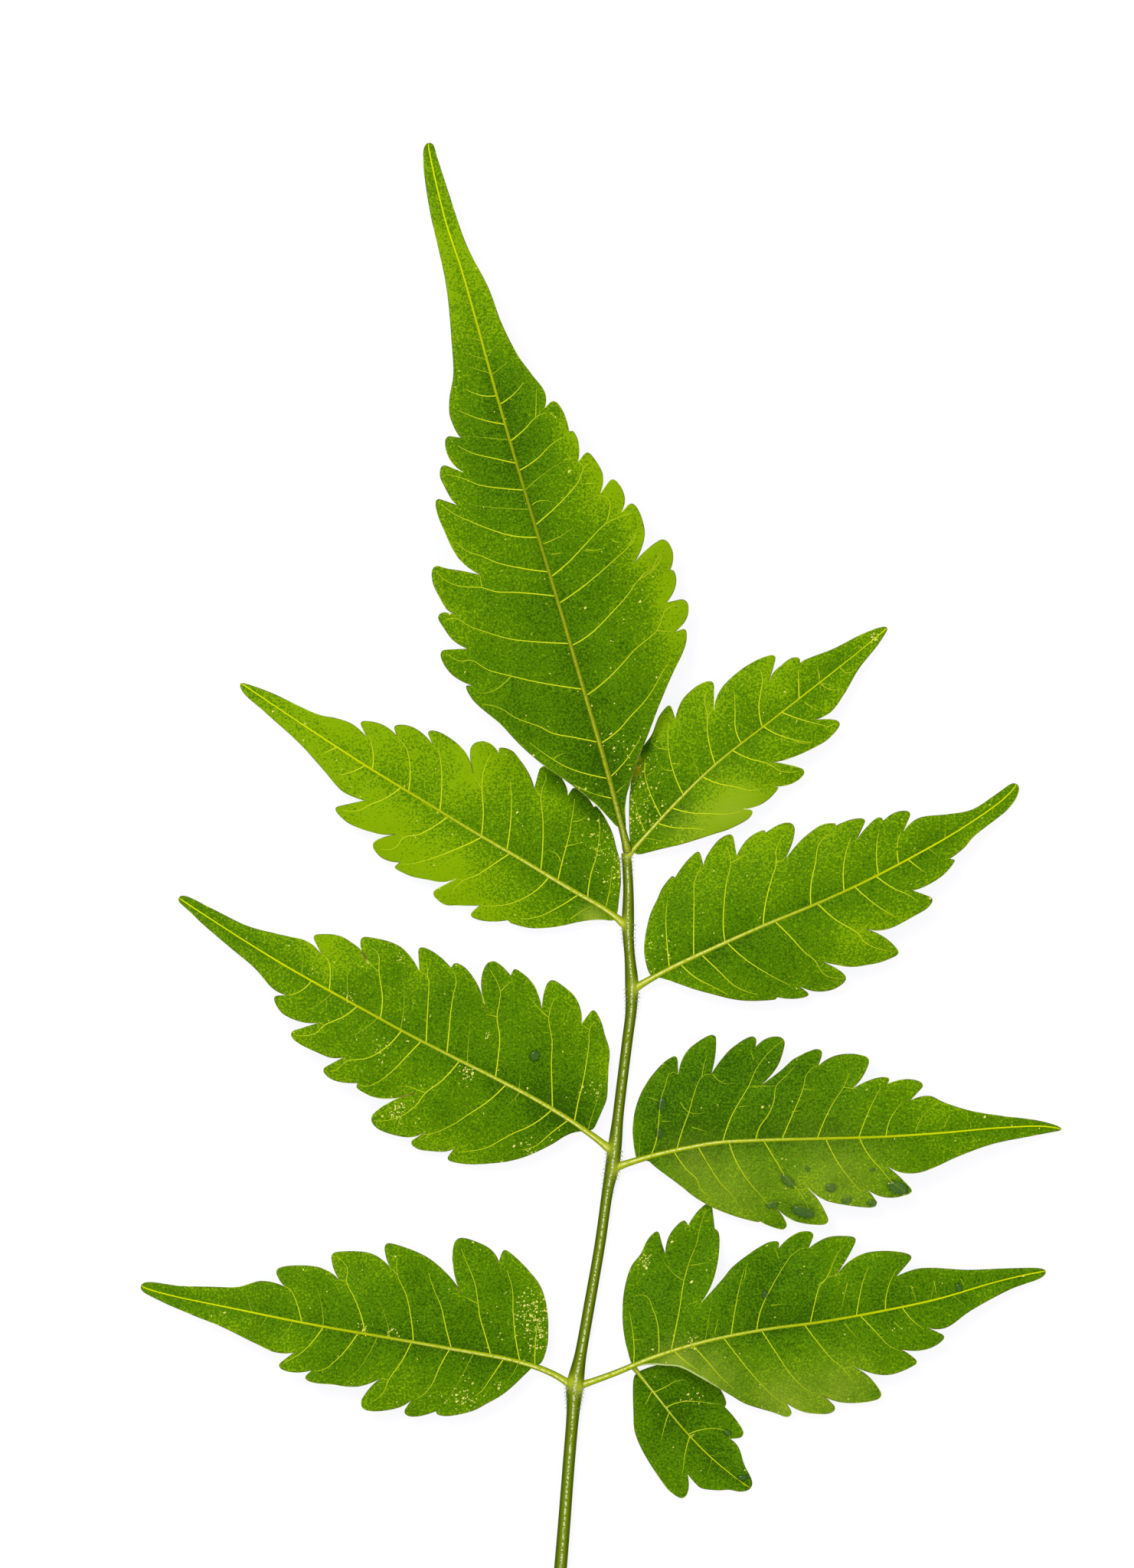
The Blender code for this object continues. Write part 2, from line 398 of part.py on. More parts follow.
def blade_mesh(leaflet):
    """Return the waved blade as an open sheet of triangles, creased along its midrib."""
    outline = np.vstack((margin(leaflet.left), margin(leaflet.right)[-2::-1]))
    rib = smooth(leaflet.midrib, RIB_STEP)
    crease = rib[inside(outline, rib) & (distance(rib, outline) > CLEAR_OF_RIB_ENDS)]
    columns = np.arange(0, rib[-1, 0], GRID_STEP)
    rows = np.arange(-WIDEST, WIDEST, GRID_STEP)
    grid = np.stack(np.meshgrid(columns, rows), axis=-1).reshape(-1, 2)
    fixed = np.vstack((outline, smooth(rib, CLEAR_OF_EDGE / 2)))
    grid = grid[inside(outline, grid) & (distance(grid, fixed) > CLEAR_OF_EDGE)]
    points = np.vstack((outline, crease, grid))
    count = len(outline)
    edges = [(i, (i + 1) % count) for i in range(count)]
    edges += [(count + i, count + i + 1) for i in range(len(crease) - 1)]
    flat, _, triangles, *_ = delaunay_2d_cdt(points.tolist(), edges, [], 1, 1e-6)
    flat = np.array([tuple(corner) for corner in flat])
    level = height(leaflet, flat[:, 0], flat[:, 1])
    mesh = bpy.data.meshes.new(leaflet.name)
    mesh.from_pydata((np.column_stack((flat, level)) * MM).tolist(), [], triangles)
    return mesh


def tube(name, points, radii, collection, resolution=2):
    """Return a mesh object for a round tube along the points, its ends closed."""
    curve = bpy.data.curves.new(name, "CURVE")
    curve.dimensions = "3D"
    curve.bevel_depth = MM
    curve.bevel_resolution = resolution
    curve.use_fill_caps = True
    spline = curve.splines.new("POLY")
    spline.points.add(len(points) - 1)
    for knot, point, radius in zip(spline.points, points, radii):
        knot.co = (*(np.array(point) * MM), 1.0)
        knot.radius = radius
    guide = bpy.data.objects.new(name + "_path", curve)
    bpy.context.scene.collection.objects.link(guide)
    mesh = bpy.data.meshes.new_from_object(guide.evaluated_get(bpy.context.evaluated_depsgraph_get()))
    welded = bmesh.new()
    welded.from_mesh(mesh)
    bmesh.ops.remove_doubles(welded, verts=welded.verts, dist=1e-6)
    welded.to_mesh(mesh)
    welded.free()
    piece = bpy.data.objects.new(name, mesh)
    piece.matrix_world = guide.matrix_world
    collection.objects.link(piece)
    bpy.data.objects.remove(guide, do_unlink=True)
    return piece


def as_tool(piece):
    """Mark an object as one that only shapes another."""
    piece.hide_render = True
    piece.display_type = "WIRE"
    return piece


def boolean(piece, tool, operation):
    """Join or cut a piece with a tool object."""
    modifier = piece.modifiers.new(operation.title(), "BOOLEAN")
    modifier.operation = operation
    modifier.object = tool


def on_plan(point):
    """Return a point of the plan, from the middle of the flat spot, in metres."""
    return ((point[0] - SPOT_CENTRE[0]) * MM, (point[1] - SPOT_CENTRE[1]) * MM, 0.0)


def build_leaflet(leaflet, parts, tools):
    """Build one leaflet: the blade with its thickness, joined to its midrib and short stalk."""
    sheet = blade_mesh(leaflet)
    blade = bpy.data.objects.new(leaflet.name, sheet)
    parts.objects.link(blade)
    thicken = blade.modifiers.new("Thickness", "SOLIDIFY")
    thicken.thickness = BLADE_THICKNESS * MM
    thicken.offset = 0.0
    rib = smooth(leaflet.midrib, RIB_STEP)
    rib[0] = (leaflet.rib_start, np.interp(leaflet.rib_start, rib[:, 0], rib[:, 1]))
    rib[-1, 0] -= RIB_SHORT_OF_TIP
    level = height(leaflet, rib[:, 0], rib[:, 1])
    taper = 1.0 - RIB_TAPER * rib[:, 0] / rib[-1, 0]
    rib_tube = tube(leaflet.name + "_rib", np.column_stack((rib, level)), leaflet.rib_radius * taper, tools)
    boolean(blade, as_tool(rib_tube), "UNION")
    blade.data.materials.append(plant_material(leaflet.name + "_green", LEAF_GREEN, 0.45))
    heading = math.atan2(leaflet.tip[1] - leaflet.joint[1], leaflet.tip[0] - leaflet.joint[0])
    for piece in (blade, rib_tube):
        piece.location = on_plan(leaflet.joint)
        piece.rotation_euler = (0.0, 0.0, heading)


def build_stalk(parts, tools):
    """Build the main stalk, swollen at each joint, with a flat spot on its underside."""
    path = smooth(STALK, STALK_STEP)
    centre = np.array(SPOT_CENTRE)
    away = np.linalg.norm(path[:, :2] - centre, axis=1)
    underside = STALK_CLEARANCE - (STALK_CLEARANCE + SPOT_DEPTH) * np.exp(-(away / SPOT_REACH)**2)
    points = np.column_stack((path[:, :2] - centre, path[:, 2] + underside))
    stalk = tube("stalk", points, path[:, 2], parts)
    surface = bpy.data.meshes.new("surface")
    block = bmesh.new()
    bmesh.ops.create_cube(block, size=1.0)
    bmesh.ops.scale(block, vec=Vector(SURFACE_BLOCK) * MM, verts=block.verts)
    bmesh.ops.translate(block, vec=(0, 0, -SURFACE_BLOCK[2] / 2 * MM), verts=block.verts)
    block.to_mesh(surface)
    block.free()
    cutter = bpy.data.objects.new("surface", surface)
    tools.objects.link(cutter)
    boolean(stalk, as_tool(cutter), "DIFFERENCE")
    stalk.data.materials.append(plant_material("stalk_green", STALK_GREEN, 0.5))


def main():
    """Build the stalk and its nine leaflets."""
    clear_scene()
    parts = new_collection("neem_leaf")
    tools = new_collection("tools")
    build_stalk(parts, tools)
    for leaflet in LEAFLETS:
        build_leaflet(leaflet, parts, tools)


main()
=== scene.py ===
import logging
import math
from dataclasses import dataclass
from enum import Enum
from typing import Any, Callable

import bpy
import numpy as np
from mathutils.geometry import delaunay_2d_cdt
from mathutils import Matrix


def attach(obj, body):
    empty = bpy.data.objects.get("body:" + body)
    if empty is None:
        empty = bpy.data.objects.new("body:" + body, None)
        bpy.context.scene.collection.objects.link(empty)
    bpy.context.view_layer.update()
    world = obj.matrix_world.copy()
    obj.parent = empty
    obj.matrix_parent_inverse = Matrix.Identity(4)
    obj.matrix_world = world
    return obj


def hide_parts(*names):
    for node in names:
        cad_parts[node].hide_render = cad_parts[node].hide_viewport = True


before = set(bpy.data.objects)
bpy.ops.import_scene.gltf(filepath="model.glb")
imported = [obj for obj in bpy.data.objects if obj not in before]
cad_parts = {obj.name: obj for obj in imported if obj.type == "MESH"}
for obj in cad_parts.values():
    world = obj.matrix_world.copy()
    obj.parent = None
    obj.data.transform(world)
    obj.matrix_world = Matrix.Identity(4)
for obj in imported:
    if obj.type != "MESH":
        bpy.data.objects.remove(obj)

# A compound neem leaf that lies on a white surface, seen from straight above.
# A leaflet is drawn in its own frame, in millimetres: x runs from its joint on the main stalk to its
# tip, and y to the left of that heading. The leaf's plan is in millimetres too, measured on the photo.

LOG = logging.getLogger("neem_leaf")
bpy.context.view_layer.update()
MM = 0.001

# The form of the solids, repeated from the part's source, in millimetres
SHOULDER_RISE = 0.55
RIPPLE_RISE = 0.3
RIPPLE_LENGTH = 11.0
ROOT_HEIGHT = 0.85
TIP_HEIGHT = 0.3
LOWEST_MIDDLE = 0.3
SPOT_CENTRE = (0.83, 60.0)
SPOT_REACH = 6.0
SPOT_DEPTH = 0.12
STALK_CLEARANCE = 0.1

# How finely the curves and the blades are divided here, in millimetres
EDGE_STEP = 0.32
NEAR_EDGE_STEP = 0.15
RIB_STEP = 0.8
GRID_STEP = 0.52
NEXT_TO_EDGE = 0.24
RING_CLEARANCE = 0.8 * NEXT_TO_EDGE
GRID_CLEARANCE = 1.5 * NEXT_TO_EDGE
WIDEST = 20.0
SAME_POINT = 1e-6

# How many points are measured at a time
POINTS_AT_ONCE = 2000

# The triangulation's mode in which it returns only the triangles inside the outline
INSIDE_ONLY = 1

# A tooth that turns by more than this many degrees is blunted over so many millimetres on each side,
# or over this share of the way to the next sharp corner where that is less
SHARP_TURN = 32.0
BLUNTED = 0.75
BLUNTED_AT_MOST = 0.45

# The chance of a pale fleck in a cell of the blade, away from the marked places
FLECKS_EVERYWHERE = 0.0018

# The midribs are this wide here against the solids' round ones
RIB_WIDER = 0.96

# How strongly a relief turns the light, from 0 to 1
RELIEF_STRENGTH = 0.6

# How many finer layers a cloudy pattern has, where no other number is given
CLOUD_DETAIL = 2.0

# Main stalk from the cut end upwards: x, y and radius
STALK = (
    (-7.9, -13.0, 0.76), (-6.8, 0.0, 0.74), (-6.3, 6.1, 0.72), (-5.75, 13.3, 0.70), (-5.15, 20.5, 0.76),
    (-4.9, 24.0, 1.0), (-4.55, 26.0, 0.84), (-4.2, 27.8, 0.70), (-2.9, 35.1, 0.64), (-1.65, 42.3, 0.62),
    (-0.6, 49.6, 0.66), (-0.1, 52.1, 0.80), (0.3, 55.2, 0.80), (0.65, 58.4, 0.65), (1.05, 61.9, 0.62),
    (1.95, 69.1, 0.62), (2.4, 72.7, 0.65), (2.5, 76.2, 0.78), (2.25, 79.8, 0.62), (2.05, 82.4, 0.64),
    (2.0, 84.1, 0.72), (2.05, 88.7, 0.60), (1.75, 93.4, 0.56),
)


@dataclass(frozen=True)
class Leaflet:
    """One leaflet: its place on the plan, its midrib, its two margins and how high it lies.

    A margin is a list of runs. Each run is a smooth curve from the corner before it, and ends in a
    corner of its own: the tip of a tooth, or the notch behind it. The blade starts at root_height,
    rises by arch between joint and tip, and sinks by droop where it is half_width from the midrib.
    Each lift is a hump of x, y, reach and height.
    """
    name: str
    joint: tuple
    tip: tuple
    midrib: tuple
    left: tuple
    right: tuple
    rib_radius: float = 0.46
    arch: float = 3.0
    droop: float = 1.8
    half_width: float = 12.0
    root_height: float = ROOT_HEIGHT
    lift: tuple = ()


TERMINAL = Leaflet(
    name="leaflet_terminal", joint=(1.6, 94.0), tip=(-24.2, 186.3), rib_radius=0.52,
    arch=6.5, droop=3.2, half_width=16.0,
    midrib=((0, -0.3), (5, -0.4), (12, -0.5), (20, -0.4), (33, -0.25), (45, 0), (60, 0.2), (78, 0.2),
            (85, 0.5), (93, 0.2), (95.9, -0.1)),
    left=(
        ((3, 0.3), (6.3, 2.0), (9.6, 4.3), (13.4, 7.4), (16.6, 9.5), (20, 11.3), (24, 13.9), (26.1, 14.3)),
        ((25.8, 13.5),), ((27.2, 15.1), (28.4, 15.9), (30.2, 16.4), (31.4, 16.2)),
        ((30.6, 12.8),), ((32.2, 14.3), (34, 15.0), (35.5, 15.35), (36.2, 14.9)),
        ((35.4, 13.1),), ((36.1, 13.9), (38.1, 14.5), (40, 14.8), (41.4, 14.55), (42.3, 13.9)),
        ((41.35, 12.5), (40.6, 10.9), (39.4, 8.6)),
        ((41.4, 10.3), (43.4, 11.1), (45.8, 11.5), (49, 11.8), (50.6, 11.4)),
        ((48.9, 9.0),), ((49.8, 9.5), (51.9, 10.0), (53.1, 10.15), (54.6, 9.5)),
        ((52.8, 7.1),), ((54.2, 8.1), (56, 8.5), (58, 8.0)),
        ((57.2, 6.2),), ((57.9, 6.5), (60.4, 6.8), (62.5, 6.25), (65.3, 4.95), (69.5, 4.0), (76.9, 2.7),
                         (86.6, 2.15), (91, 1.65), (93.3, 1.25), (95.1, 0.65), (95.9, -0.1)),
    ),
    right=(
        ((1.9, -0.8), (4.8, -1.4), (6.6, -2.1), (8.0, -3.0), (10.6, -4.7), (13.6, -7.0), (16.6, -9.2),
         (20, -11.9), (22.5, -14.1), (24, -15.05), (25.6, -15.4)),
        ((25.4, -13.9),), ((26.8, -15.9), (28.4, -16.5), (29.3, -16.3)),
        ((29.4, -13.9),), ((31.4, -15.7), (33.2, -15.9)), ((33.4, -15.5),), ((35.5, -16.4), (37.6, -15.8)),
        ((37.2, -14.3), (36.35, -12.5), (35.5, -11.2)),
        ((36.9, -12.5), (38.7, -13.5), (40.5, -13.7), (42.2, -13.5), (43.3, -12.9)),
        ((42.3, -11.4),), ((44.3, -12.3), (47, -11.4)),
        ((45.4, -9.4),), ((47.5, -10.3), (49.2, -10.05), (51.2, -9.2)),
        ((50.1, -7.7),), ((52.5, -8.4), (54.2, -8.1)), ((54.2, -7.6),), ((57.2, -7.5), (58.8, -6.7)),
        ((58, -5.4),), ((59.8, -5.95), (62.5, -5.0), (65.4, -3.9), (70.1, -2.95), (75, -2.55), (81.3, -1.3),
                        (88.3, -0.9), (93.6, -0.7), (95.3, -0.62), (95.9, -0.1)),
    ),
)

RIGHT_1 = Leaflet(
    name="leaflet_right_1", joint=(2.2, 93.4), tip=(35.9, 122.9), rib_radius=0.36,
    arch=2.0, droop=1.8, half_width=11.0, root_height=0.75,
    midrib=((0, -0.1), (3.55, 0.35), (9.1, 0.95), (16, 1.3), (25.8, 0.8), (36.9, 0.2), (45, -0.1)),
    left=(
        ((0.5, 0.3), (1.5, 1.7), (2.65, 3.1), (3.6, 4.2), (5.3, 6.0), (7.8, 8.0), (10.2, 9.2),
         (12.3, 9.7), (14.7, 10.9), (16.9, 11.2)),
        ((16.05, 9.25),), ((17.2, 10), (18.55, 10.55), (21.6, 10.5), (23.1, 9.65)),
        ((20.6, 6.8),), ((21.9, 7.8), (23.55, 8.35), (27.4, 8.35), (30.5, 7.5), (31.5, 6.8)),
        ((28.3, 4.7),), ((29.4, 5.3), (31.05, 5.4), (32.7, 5.2), (33.5, 4.5)),
        ((33.05, 4.0),), ((33.8, 3.9), (37.7, 2.5), (41.9, 1.45), (44.4, 0.4), (45, -0.1)),
    ),
    right=(
        ((0.1, -0.5), (0.65, -0.92), (1.6, -1.42), (3.55, -2.4), (5.8, -3.6), (9.9, -5.4), (11.9, -6.25),
         (14.9, -6.85), (15.9, -6.4)),
        ((15, -5.5),), ((17.4, -6.6), (20.35, -6.4)), ((20.05, -6.05),), ((22.4, -7.3), (24.45, -7.1)),
        ((23.8, -5.85), (22, -3.5)), ((23.55, -4.35), (27.4, -5.6), (29.7, -5.9), (32.05, -5.4)),
        ((31.5, -4.45), (29.7, -2.9)),
        ((30.8, -3.3), (32.2, -3.45), (34.9, -2.8), (38.3, -1.65), (42.4, -0.9), (45, -0.1)),
    ),
)

LEFT_1 = Leaflet(
    name="leaflet_left_1", joint=(1.2, 84.2), tip=(-48.6, 115.7), arch=1.9, droop=2.2,
    midrib=((0, -0.15), (2.6, -0.4), (8.7, -0.2), (15.9, -0.05), (23, 0.2), (30, 0.3), (39, 0.45),
            (49.8, 0.3), (59.1, 0.05)),
    left=(
        ((0.9, 0.3), (2.2, 0.85), (3.7, 1.85), (5, 3), (6.2, 4.2), (8, 5.75), (9.8, 6.9), (12.3, 7.7)),
        ((12.8, 7.6),), ((15.5, 9.4), (17.5, 9.8)), ((17, 8.0),), ((19.4, 9.5), (20.9, 10.3), (23.2, 9.85)),
        ((22.6, 8.7), (21.4, 6.65)), ((22.6, 7.9), (24.4, 8.7), (26.6, 9.5), (29.1, 9.75)),
        ((28.8, 8.8),), ((31.2, 9.5), (33.2, 8.6)), ((32.5, 7.35), (30.9, 5.7)),
        ((31.9, 6.5), (33.7, 7.3), (37.3, 8.0), (39.9, 7.3)), ((37, 4.4),),
        ((38.4, 4.75), (40.1, 4.9), (43.7, 3.85), (48, 2.65), (54.1, 1.6), (58, 0.9), (59.1, 0.05)),
    ),
    right=(
        ((1.1, -0.7), (2.0, -2.5), (3.1, -4.7), (4.8, -7.0), (5.7, -7.8), (7.3, -9.3), (9.4, -10.6),
         (11.1, -11.2)),
        ((11.2, -10.9),), ((13.7, -11.85), (14.9, -11.75)),
        ((14.9, -10.4),), ((15.9, -11.4), (17.6, -12.1), (19.1, -12.2), (20, -11.7)),
        ((19.1, -8.85),), ((20.5, -9.95), (22.6, -10.95), (24.25, -11.4), (25.9, -10.8)),
        ((25.4, -10.2),), ((27.6, -10.6), (29.1, -9.25)), ((28.5, -8), (26.6, -5.95)),
        ((28, -7.3), (29.8, -8.2), (33.4, -8.4), (35, -7.65)), ((33.4, -6.6),), ((36.9, -7.05), (39, -5.85)),
        ((38, -5.05),), ((40.5, -5.2), (43.1, -4)),
        ((41.2, -2.8),), ((43.7, -3.2), (45.9, -2.7), (48, -1.9), (55.1, -0.95), (59.1, 0.05)),
    ),
)

RIGHT_2 = Leaflet(
    name="leaflet_right_2", joint=(3.2, 75.8), tip=(52.9, 102.5), arch=3.2, droop=2.4,
    midrib=((0, 0.1), (4.9, 0.2), (11.8, -0.15), (18.7, -0.65), (25.6, -1.35), (32.5, -1.8), (39.4, -1.9),
            (46.3, -1.75), (53.9, -0.9), (56.5, 0.05)),
    left=(
        ((2.2, 0.4), (2.5, 2.2), (3.2, 4.1), (4, 5.3), (6.1, 7.7), (7.7, 8.9), (9, 9.9), (11, 10.75)),
        ((11.2, 10.35),), ((13.5, 11.5), (15.7, 12.05)), ((15.2, 10),),
        ((15.9, 10.7), (17.3, 11.5), (18.7, 12), (20.55, 11.9)), ((19.6, 9.05),),
        ((22.1, 10.35), (24.4, 10.3)), ((24.4, 9.9),), ((27, 9.9), (28.2, 9.25)), ((27.5, 7.9), (25, 5.7)),
        ((28, 6.9), (29.7, 7.25), (31.4, 7.35), (33, 6.65)), ((32.8, 6.4),), ((35.2, 6.1), (36.8, 5.3)),
        ((34.1, 3.3),), ((35.2, 3.95), (38, 4.75), (38.6, 4.5)), ((38.6, 4.05),), ((40.8, 4.2), (42.4, 3.3)),
        ((40.3, 1.6),), ((41.4, 2.05), (43, 2.15), (46.3, 0.85), (49.4, -0.15), (53.4, 0.12),
         (55.7, 0.35), (56.5, 0.05)),
    ),
    right=(
        ((3.2, -0.2), (4.2, -1.2), (6.6, -3.8), (8.3, -5.4), (10.1, -7.05), (11.8, -8.25), (15.2, -9.9)),
        ((15.5, -9.7),), ((17.7, -11.1), (19.55, -11.55)), ((18.8, -9.9),),
        ((20.1, -11.3), (21.8, -12.15), (23.3, -12.3), (24.8, -11.9)), ((24.4, -10.6), (23, -8.5)),
        ((24.2, -9.55), (25.9, -10.8), (27.7, -11.5), (29.7, -12.1), (32.4, -12.3)),
        ((31.6, -9.55), (29.8, -7.2)),
        ((31.1, -8.2), (32.8, -8.75), (36.3, -8.8), (38.3, -8.7), (39.65, -8)), ((37.65, -5.75),),
        ((39, -6.05), (42.1, -5.9), (44.5, -4.9)),
        ((43.9, -4.45),), ((46.3, -4.05), (48, -3.4), (51.8, -2.75), (53.4, -2.45),
         (55.1, -1.75), (56.2, -0.8), (56.5, 0.05)),
    ),
)

LEFT_2 = Leaflet(
    name="leaflet_left_2", joint=(-0.8, 54.9), tip=(-56.8, 87.7), arch=3.6, droop=2.6, half_width=13.0,
    midrib=((0, -0.15), (4.9, -0.7), (11, -0.85), (17.2, -0.6), (23.4, -0.2), (29.5, 0.15), (36.5, 0.35),
            (48, 0.6), (55.7, 0.45), (65, 0.05)),
    left=(
        ((3.8, -0.3), (4.7, 0.4), (5.5, 1.45), (6.3, 3), (8.4, 6.1), (9.9, 7.7), (11.5, 9), (14.9, 11.15),
         (17.35, 11.95)),
        ((17.15, 10.2),), ((18, 11.1), (19.5, 11.9), (21.1, 12.55), (22.65, 12.35)), ((21.5, 10.2),),
        ((22.6, 11.55), (24.2, 12.35), (27.2, 12.9), (28.65, 12.15)), ((27.6, 9.35), (25, 6)),
        ((26.1, 7.4), (27.6, 8.65), (29.5, 9.55), (32.2, 9.65)), ((32.3, 9.05),),
        ((34.9, 10.25), (36.1, 10.3), (37.3, 9.85)),
        ((35.6, 7.05),), ((36.85, 7.9), (38.8, 8.25), (42.2, 8.4), (43.35, 7.75)),
        ((40.7, 4.85),), ((42.2, 5.7), (44.2, 6.15), (45.7, 6.05), (47.6, 4.8)),
        ((46.15, 3.85),), ((48, 4), (51.5, 2.9), (55.7, 2.2), (60.3, 1.4), (62.7, 0.85), (64.4, 0.48),
         (65, 0.05)),
    ),
    right=(
        ((2.6, -0.7), (2.9, -3.5), (3.2, -5.5), (4, -7.2), (4.9, -8.9), (6.1, -11.2), (7.6, -12.6),
         (8.95, -13.9), (10.7, -14.9)),
        ((11, -12.4),), ((11.85, -13.7), (13.4, -14.9), (14.9, -15.3), (17.4, -15.45)),
        ((17.5, -14.3), (16.5, -11.5)), ((17.6, -12.6), (19.15, -13.7), (22.3, -14.2)), ((22.15, -13.1),),
        ((24.5, -13.7), (25.5, -13.5)), ((25.65, -12.4), (25.1, -10.5), (22.35, -7.3)),
        ((24.15, -9.1), (26.1, -10.4), (28, -11.05), (29.35, -10.9)), ((29.4, -10.1),),
        ((32.6, -10.7), (34.5, -10.3)), ((32.8, -7.7),), ((35.7, -9), (37.6, -9.05), (41.6, -7.7)),
        ((40.7, -6.25), (38.6, -4.95)), ((40.3, -6.05), (42.2, -6.4), (44.2, -6.3), (47.2, -4.6)),
        ((44.85, -3.05),), ((47.2, -3.6), (50.7, -2.6), (54.9, -1.4), (60.3, -0.95), (64.1, -0.58),
         (65, 0.05)),
    ),
)

RIGHT_3 = Leaflet(
    name="leaflet_right_3", joint=(0.8, 52.1), tip=(58.7, 57.3), arch=3.4, droop=2.6,
    midrib=((0, 0.4), (2.3, 0.95), (5.1, 1.5), (10.5, 2.2), (13.7, 2.4), (20.1, 2.15), (27.3, 1.7),
            (34.8, 1.25), (42.6, 1.05), (49.8, 1.0), (55.9, 0.6), (58.35, -0.1)),
    left=(
        ((2.4, 1.1), (2.2, 3.5), (2.4, 6), (3.2, 8.5), (4.4, 10.6), (5.8, 12.2), (7.3, 13.5), (8.7, 14.05),
         (8.95, 13.45)),
        ((8.85, 11.7),), ((9.8, 14), (10.9, 15.1), (13.7, 16.4), (14.2, 16.05)),
        ((13.95, 14), (13.2, 11.45)), ((14.8, 13.3), (16.2, 14.5), (18.7, 15.7), (19.5, 15.5)),
        ((19.25, 14.35),), ((20.9, 15.35), (22.3, 15.4), (23.2, 15.0)), ((22.6, 13.1), (21.75, 11.5),
         (19.6, 9.45)),
        ((22.3, 11.1), (24.1, 12.4), (27.1, 13.35), (28.0, 13.1)), ((27.2, 11.25),),
        ((29.1, 12.2), (30.9, 12.4), (32.6, 12.15), (34, 11.55)), ((32.8, 9.35), (31.3, 7.85)),
        ((33.4, 8.7), (35.1, 9.0), (36.3, 8.8)), ((35.95, 8.1),), ((38, 8.45), (39.6, 8.2), (40.75, 7.5)),
        ((38.65, 5.65),),
        ((40.3, 6.05), (41.4, 5.95), (43, 5.0), (46.2, 3.65), (50.5, 2.5), (54.8, 1.55), (57.6, 0.5),
         (58.35, -0.1)),
    ),
    right=(
        ((3.9, 0.9), (4.8, -0.1), (7.6, -2.6), (9.1, -4.05), (10.7, -5.35), (13.4, -6.9), (17.5, -8.5)),
        ((17.8, -8.4),), ((18.7, -9.0), (20.7, -9.75), (21.4, -9.45)), ((20.7, -7.8), (20.1, -6.9)),
        ((21.9, -8.55), (23.4, -9.15), (26, -9.55), (26.8, -9.3)), ((26, -7.1), (25.3, -5.8), (24.35, -4.55)),
        ((26.2, -6.2), (27.6, -6.8), (32.3, -7.85), (33.3, -7.7)), ((32.6, -6.2), (32, -5.45)),
        ((33.7, -6.5), (35.5, -6.8), (38.05, -6.3)), ((36.6, -4.4), (34.9, -2.65)),
        ((36.9, -3.7), (38.7, -3.85), (40.5, -3.5), (44.1, -2.25), (48.7, -1.05), (54.4, -0.45),
         (58.35, -0.1)),
    ),
)

LEFT_3 = Leaflet(
    name="leaflet_left_3", joint=(-5.5, 24.3), tip=(-61.6, 37.0), arch=3.2, droop=2.6,
    midrib=((0, 0.3), (1.6, -0.35), (3.4, -0.8), (5.1, -1.05), (8.7, -1.25), (16.6, -0.95), (25.1, -0.55),
            (33.7, -0.1), (44.4, 0.2), (55.1, 0.4), (57.75, 0.1)),
    left=(
        ((5.3, -0.8), (6.05, 0.3), (7.1, 1.9), (8.35, 3.5), (10, 5.0), (11.6, 6.35), (14.8, 7.8),
         (16.1, 7.85)),
        ((16.3, 7.5),), ((18.5, 8.7), (19.6, 8.9), (20.5, 8.65)), ((19.8, 6.8),),
        ((20.5, 7.6), (21.75, 8.4), (24.6, 9.35), (25.7, 9.2), (26.25, 8.6)), ((25.3, 6.2), (24.4, 4.95)),
        ((26.6, 6.4), (28, 6.8), (30.1, 7), (33, 7.3), (34.1, 6.95)), ((33.3, 5.8),),
        ((35.1, 6.5), (36.75, 6.6), (37.85, 6.2)), ((36.1, 4.05),),
        ((38.4, 4.55), (41.4, 3.95), (45.9, 2.9), (50.5, 2.2), (54.8, 1.4), (57.2, 0.7), (57.75, 0.1)),
    ),
    right=(
        ((4.35, -1.1), (4, -4), (4.35, -6.15), (4.8, -7.9), (5.7, -10.05), (6.9, -11.7), (10.1, -14.05),
         (12.4, -15.15)),
        ((12.6, -13.3),), ((14.05, -14.65), (17.6, -15.3), (18.7, -15.05)),
        ((18.7, -12.75), (17.3, -9.35), (16.15, -8.05)), ((18.4, -10.05), (21.9, -11.85), (26.2, -12.55),
         (27.7, -12.45)),
        ((27.3, -11.15), (26.4, -9.65)), ((28.4, -10.6), (30.1, -10.7), (34.2, -9.7)), ((33.5, -7.9),
         (32.4, -6.55)),
        ((35.1, -7.5), (39.1, -6.85), (40.85, -5.95)), ((40, -4.8), (39.1, -4.1)),
        ((42.3, -4.1), (45, -2.7), (48.7, -1.85), (52.6, -1.05), (56.75, -0.55), (57.75, 0.1)),
    ),
)

